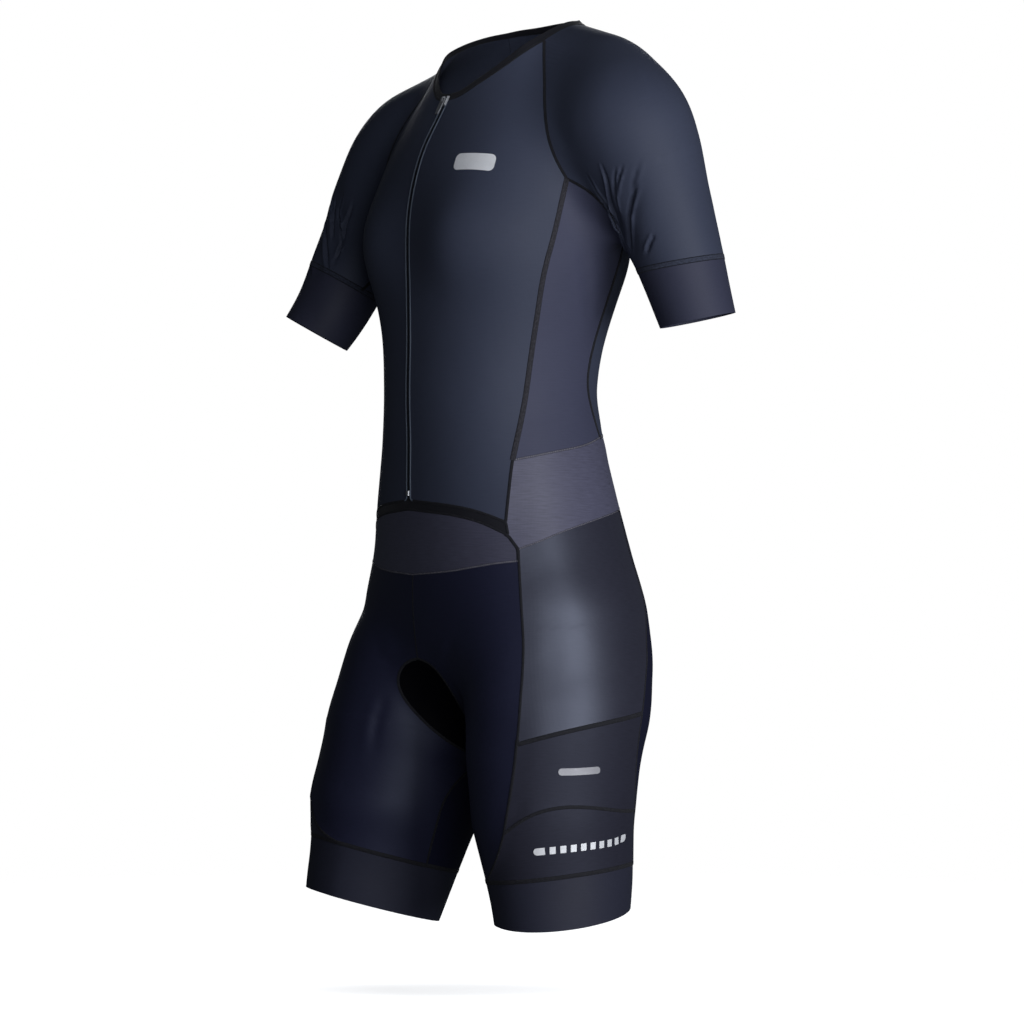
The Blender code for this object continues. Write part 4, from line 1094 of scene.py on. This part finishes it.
def seam_row(one, other):
    for row in SEAMS:
        for pair in ({one, other}, {plain_name(one), other}, {one, plain_name(other)},
                     {plain_name(one), plain_name(other)}):
            if pair == {row.one, row.other}:
                return row
    return PLAIN_SEAM


def tube_faces(rings, sides):
    """The faces of a tube with closed ends, whose points go ring by ring."""
    faces = []
    for k in range(0, (rings - 1) * sides, sides):
        for a, b in zip(range(k, k + sides), [*range(k + 1, k + sides), k]):
            faces.append((a, b, b + sides, a + sides))
    return faces + [tuple(range(sides - 1, -1, -1)), tuple(range((rings - 1) * sides, rings * sides))]


def ribbon(tree, points, wide, rise, shape):
    """A low domed ribbon along a run: its points, faces, and place along and across for each point."""
    run = smooth_run(points, SEAM_STEP)
    if len(run) < 3:
        return [], [], []
    facing = np.array([tree.find_nearest(Vector(p))[1][:] for p in run])
    for _ in range(3):
        facing[1:-1] = (facing[:-2] + 2 * facing[1:-1] + facing[2:]) / 4
    facing = unit(facing)
    across = unit(np.cross(np.gradient(run, axis=0), facing))
    made, places = [], []
    for p, n, s, far in zip(run, facing, across, distances(run)):
        for share, height in shape:
            hit, _, _, _ = tree.find_nearest(Vector(p + s * share * wide / 2))
            made.append(np.array(hit) + n * height * rise)
            places.append((far, share))
    return made, tube_faces(len(run), len(shape)), places


def laid_piece(name, parts, look, slot):
    """A finished piece from lists of points, faces and places on the cloth, which become its UV map."""
    points, faces, places = gather(parts)
    mesh = bpy.data.meshes.new(name)
    mesh.from_pydata([tuple(p) for p in points], [], faces)
    mesh.validate()
    layer = mesh.uv_layers.new(name=CLOTH_UV)
    for corner in mesh.loops:
        layer.data[corner.index].uv = places[corner.vertex_index]
    mesh.materials.append(LOOKS[look])
    piece = new_piece(name, mesh)
    bm = bmesh.new()
    bm.from_mesh(mesh)
    bmesh.ops.recalc_face_normals(bm, faces=bm.faces)
    bm.to_mesh(mesh)
    bm.free()
    smooth_faces(piece, SMOOTH_LAID)
    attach(piece, "suit")


def mark_tall(mark, x):
    """Half a mark's height at a place across it, in metres, less towards its rounded ends."""
    half, high = mark.wide / 2000, mark.high / 2000
    start, end = mark.round_start / 1000, mark.round_end / 1000
    tall = high
    if x < -half + start:
        tall = high - start + math.sqrt(max(0, start ** 2 - (x + half - start) ** 2))
    if x > half - end:
        tall = min(tall, high - end + math.sqrt(max(0, end ** 2 - (x - half + end) ** 2)))
    return tall


def mark_grid(tree, run, at, mark):
    """A thin plate with rounded ends, laid on the cloth with its middle at a place along a run."""
    gaps = distances(run)
    half, start, end = mark.wide / 2000, mark.round_start / 1000, mark.round_end / 1000
    across, rows = (max(3, int(size / MARK_CELL) + 1) for size in (mark.wide, mark.high))
    ends = [start * c - half for c in MARK_ARC] + [half - end * c for c in MARK_ARC]
    columns = sorted({round(x, 6) for x in [*np.linspace(-half, half, across), *ends]})
    top, under = [], []
    for x in columns:
        tall = mark_tall(mark, x)
        for y in np.linspace(-tall, tall, rows):
            far = min(max(at + x + mark.slant * y, 0), gaps[-1])
            p = place_on(run, gaps, far)
            ahead = place_on(run, gaps, far + MARK_AHEAD) - place_on(run, gaps, far - MARK_AHEAD)
            upward = np.cross(ahead, tree.find_nearest(Vector(p))[1])
            upward /= max(np.linalg.norm(upward), 1e-9) * (1 if upward[2] > 0 else -1)
            hit, facing, _, _ = tree.find_nearest(Vector(p + upward * y))
            top.append(np.array(hit) + np.array(facing) * MARK_RISE)
            under.append(np.array(hit) - np.array(facing) * MARK_RISE)
    shift, wide = len(top), len(columns)
    faces = []
    for c in range(wide - 1):
        for r in range(rows - 1):
            a = c * rows + r
            quad = (a, a + 1, a + rows + 1, a + rows)
            faces += [quad, tuple(i + shift for i in quad[::-1])]
    last = (wide - 1) * rows
    edge = [*range(rows), *range(2 * rows - 1, last + rows, rows),
            *range(last + rows - 2, last - 1, -1), *range(last - rows, 0, -rows)]
    faces += [(a, b, b + shift, a + shift) for a, b in zip(edge, edge[1:] + edge[:1])]
    return top + under, faces, [(0, 0)] * (2 * shift)


# ---------------------------------------------------------------- operators

class CutTopPanels(bpy.types.Operator):
    """Cuts the raglan fronts, the back and the side panels"""
    bl_idname = "skinsuit.cut_top_panels"
    bl_label = "Cut top panels"

    def execute(self, context):
        cut_pieces(TOP_PIECES)
        return {"FINISHED"}


class CutSleeves(bpy.types.Operator):
    """Cuts both sleeves, with their underarm folds, and the cuffs"""
    bl_idname = "skinsuit.cut_sleeves"
    bl_label = "Cut sleeves and cuffs"

    def execute(self, context):
        cut_pieces(SLEEVE_PIECES)
        return {"FINISHED"}


class CutYokes(bpy.types.Operator):
    """Cuts the waist yoke and the front yoke"""
    bl_idname = "skinsuit.cut_yokes"
    bl_label = "Cut yokes"

    def execute(self, context):
        cut_pieces(YOKE_PIECES)
        return {"FINISHED"}


class CutShorts(bpy.types.Operator):
    """Cuts the leg fronts, leg backs, hip and thigh panels and the seat gusset"""
    bl_idname = "skinsuit.cut_shorts"
    bl_label = "Cut shorts"

    def execute(self, context):
        cut_pieces(SHORT_PIECES)
        return {"FINISHED"}


class CutBands(bpy.types.Operator):
    """Cuts the gripper bands at the leg hems"""
    bl_idname = "skinsuit.cut_bands"
    bl_label = "Cut leg bands"

    def execute(self, context):
        cut_pieces(BAND_PIECES)
        return {"FINISHED"}


class BindEdges(bpy.types.Operator):
    """Makes the neck binding, the front hem band and the zip's tape"""
    bl_idname = "skinsuit.bind_edges"
    bl_label = "Bind edges"

    def execute(self, context):
        suit_looks()
        cloth = context.scene.skinsuit_cloth
        for node, trim in TRIMS.items():
            cut_cloth(node, "body", TRIM_FINE, trim.look, cloth.trim_wall, TRIM_BEVEL)
        return {"FINISHED"}


class SewSeams(bpy.types.Operator):
    """Lays the cover stitching over every seam"""
    bl_idname = "skinsuit.sew_seams"
    bl_label = "Sew seams"

    def execute(self, context):
        tree = suit_tree()
        groups = {}
        for one, other, points in sewn_runs():
            if tuple(sorted((one, other))) in UNSEWN:
                continue
            row = seam_row(one, other)
            shape = CORD_SHAPE if row.look == "zip_edge" else SEAM_SHAPE
            name = SEAM_NAMES[row.look] + plain_name(one) + "_" + plain_name(other)
            made = ribbon(tree, points, row.wide / 1000, row.rise / 1000, shape)
            groups.setdefault((name, row.look), []).append(made)
        if not groups:
            raise RuntimeError("no two pieces meet, so there is nothing to sew")
        for (name, look), parts in groups.items():
            laid_piece(name, parts, look, "coil" if look == "zip_edge" else "binding")
        return {"FINISHED"}


class CoilZip(bpy.types.Operator):
    """Sews the coil's turns onto the zip's tape and gives the metal parts their finish"""
    bl_idname = "skinsuit.coil_zip"
    bl_label = "Coil the zip"

    def execute(self, context):
        tree = suit_tree()
        run = []
        for z in np.arange(COIL_TOP, COIL_FOOT, COIL_STEP):
            hit, _, _, _ = tree.ray_cast(Vector((0, -1, z / 1000)), Vector((0, 1, 0)))
            if hit is None:
                raise RuntimeError("the zip's tape isn't where its coil should lie")
            run.append(np.array(hit))
        run = smooth_run(run, TURN_PITCH / 1000)
        ring = [(math.cos(a), math.sin(a)) for a in np.arange(TURN_SIDES) * 2 * math.pi / TURN_SIDES]
        faces = tube_faces(len(TURN_SPINE), TURN_SIDES)
        parts = []
        for k in range(1, len(run) - 1):
            down = run[k + 1] - run[k - 1]
            down /= np.linalg.norm(down)
            out = np.cross(down, (1, 0, 0))
            out /= np.linalg.norm(out) * (-1 if out[1] > 0 else 1)
            stagger = TURN_STAGGER * (1 if k % 2 else -1)
            points = []
            for share, thick in TURN_SPINE:
                centre = run[k] + np.array((share * TURN_WIDE / 2000 + stagger, 0, 0)) + out * TURN_RISE
                points += [centre + (down * c * TURN_FLAT + out * s) * thick * TURN_THICK / 2000
                           for c, s in ring]
            parts.append((points, faces, [(0, 0)] * len(points)))
        laid_piece("zip_coil_turns", parts, "coil_nylon", "coil")
        for node in ("zip_slider", "zip_end_stop", "zip_pull_tab"):
            materials = frame["nodes"][node].data.materials
            materials.clear()
            materials.append(LOOKS["zip_metal"])
        return {"FINISHED"}


class PressReflectives(bpy.types.Operator):
    """Presses the plain reflective patch, the thigh bars and the rows of dashes onto the cloth"""
    bl_idname = "skinsuit.press_reflectives"
    bl_label = "Press reflectives"

    def execute(self, context):
        tree = suit_tree()

        def run_of(points):
            return smooth_run(onto(tree, smooth_run(points, RUN_STEP)), RUN_STEP)

        def press_one(name, points, mark, look):
            run = run_of(points)
            laid_piece(name, [mark_grid(tree, run, distances(run)[-1] / 2, mark)], look, "metal")

        points, patch = CHEST_PATCH
        press_one("chest_patch", metre_points(points), patch, "patch_film")
        points, bar = THIGH_BAR
        for side in SIDES:
            press_one("thigh_bar_" + side, leg_points(points, side), bar, "dull_film")
            dashes = leg_points(DASH_RUN, side)
            if side == "right":
                dashes[:, 2] += np.linspace(*DASH_LIFT, len(dashes)) / 1000
            run = run_of(dashes)
            parts, at = [], 0.0
            for mark in DASHES:
                parts.append(mark_grid(tree, run, at + mark.wide / 2000, mark))
                at += (mark.wide + DASH_GAP) / 1000
            laid_piece("reflective_dashes_" + side, parts, "reflective_film", "metal")
        return {"FINISHED"}


def faced(place, aim):
    """How a lamp at a place is turned, so that it looks at its aim."""
    return (Vector(place) - Vector(aim)).to_track_quat("Z", "Y").to_euler()


def soft_light(name, lamp, power):
    """A square light that looks at the suit's middle."""
    turn, rise = math.radians(lamp.turn), math.radians(lamp.rise)
    away = Vector((math.sin(turn) * math.cos(rise), -math.cos(turn) * math.cos(rise), math.sin(rise)))
    data = bpy.data.lights.new(name, "AREA")
    data.energy, data.size, data.shape, data.color = power, lamp.side, "SQUARE", LAMP_TINT
    light = new_piece(name, data)
    light.location = Vector(LAMP_AIM) + away * lamp.reach
    light.rotation_euler = faced(away, (0, 0, 0))


def neck_light(power):
    """A narrow light into the neck."""
    data = bpy.data.lights.new("neck_light", "SPOT")
    data.energy, data.color, data.shadow_soft_size = power, LAMP_TINT, NECK_SOFTNESS
    data.spot_size, data.spot_blend = NECK_CONE, 1.0
    light = new_piece("neck_light", data)
    light.location, light.rotation_euler = NECK_LAMP, faced(NECK_LAMP, NECK_AIM)


class SetStage(bpy.types.Operator):
    """Sets the pale floor, the soft lights and the camera"""
    bl_idname = "skinsuit.set_stage"
    bl_label = "Set the stage"

    def execute(self, context):
        stage = context.scene.skinsuit_stage
        bpy.ops.object.select_all(action="DESELECT")
        bpy.ops.mesh.primitive_plane_add(size=FLOOR_SIZE, location=(0, 0, FLOOR_LEVEL))
        floor = context.active_object
        floor.name = "studio_floor"
        bpy.ops.object.transform_apply(location=True, rotation=False, scale=False)
        floor.data.materials.append(floor_look("studio_floor"))
        floor.visible_diffuse = floor.visible_glossy = False

        context.scene.world = white_surround(stage.world)
        context.scene.view_settings.view_transform = "Standard"
        for name, lamp in LAMPS.items():
            soft_light(name + "_light", lamp, getattr(stage, name))
        neck_light(stage.neck)

        lens = bpy.data.cameras.new("photo_camera")
        lens.lens, lens.sensor_width = stage.lens, SENSOR
        camera = new_piece("photo_camera", lens)
        camera.location = CAMERA_PLACE
        camera.rotation_euler = (math.pi / 2, 0, math.radians(stage.turn))
        context.scene.camera = camera
        return {"FINISHED"}


OPERATORS = [BindEdges, CutTopPanels, CutSleeves, CutYokes, CutShorts, CutBands, SewSeams, CoilZip,
             PressReflectives, SetStage]


class SkinsuitPanel(bpy.types.Panel):
    """Steps that make the skinsuit, in their order"""
    bl_idname = "VIEW3D_PT_skinsuit"
    bl_label = "Skinsuit"
    bl_space_type = "VIEW_3D"
    bl_region_type = "UI"
    bl_category = "Skinsuit"

    def draw(self, context):
        for operator in OPERATORS:
            self.layout.operator(operator.bl_idname)
        for label in GROUPS:
            group = getattr(context.scene, label)
            box = self.layout.box()
            for name in group.bl_rna.properties.keys():
                if name not in ("rna_type", "name"):
                    box.prop(group, name)


GROUPS = {"skinsuit_cloth": SkinsuitCloth, "skinsuit_colours": SkinsuitColours,
          "skinsuit_stage": SkinsuitStage}
CLASSES = [*GROUPS.values(), *OPERATORS, SkinsuitPanel]


def register():
    for cls in CLASSES:
        bpy.utils.register_class(cls)
    for label, group in GROUPS.items():
        setattr(bpy.types.Scene, label, PointerProperty(type=group))


def unregister():
    for label in GROUPS:
        delattr(bpy.types.Scene, label)
    for cls in reversed(CLASSES):
        bpy.utils.unregister_class(cls)


def main():
    register()
    for operator in OPERATORS:
        group, name = operator.bl_idname.split(".")
        getattr(getattr(bpy.ops, group), name)()


if __name__ == "__main__":
    main()
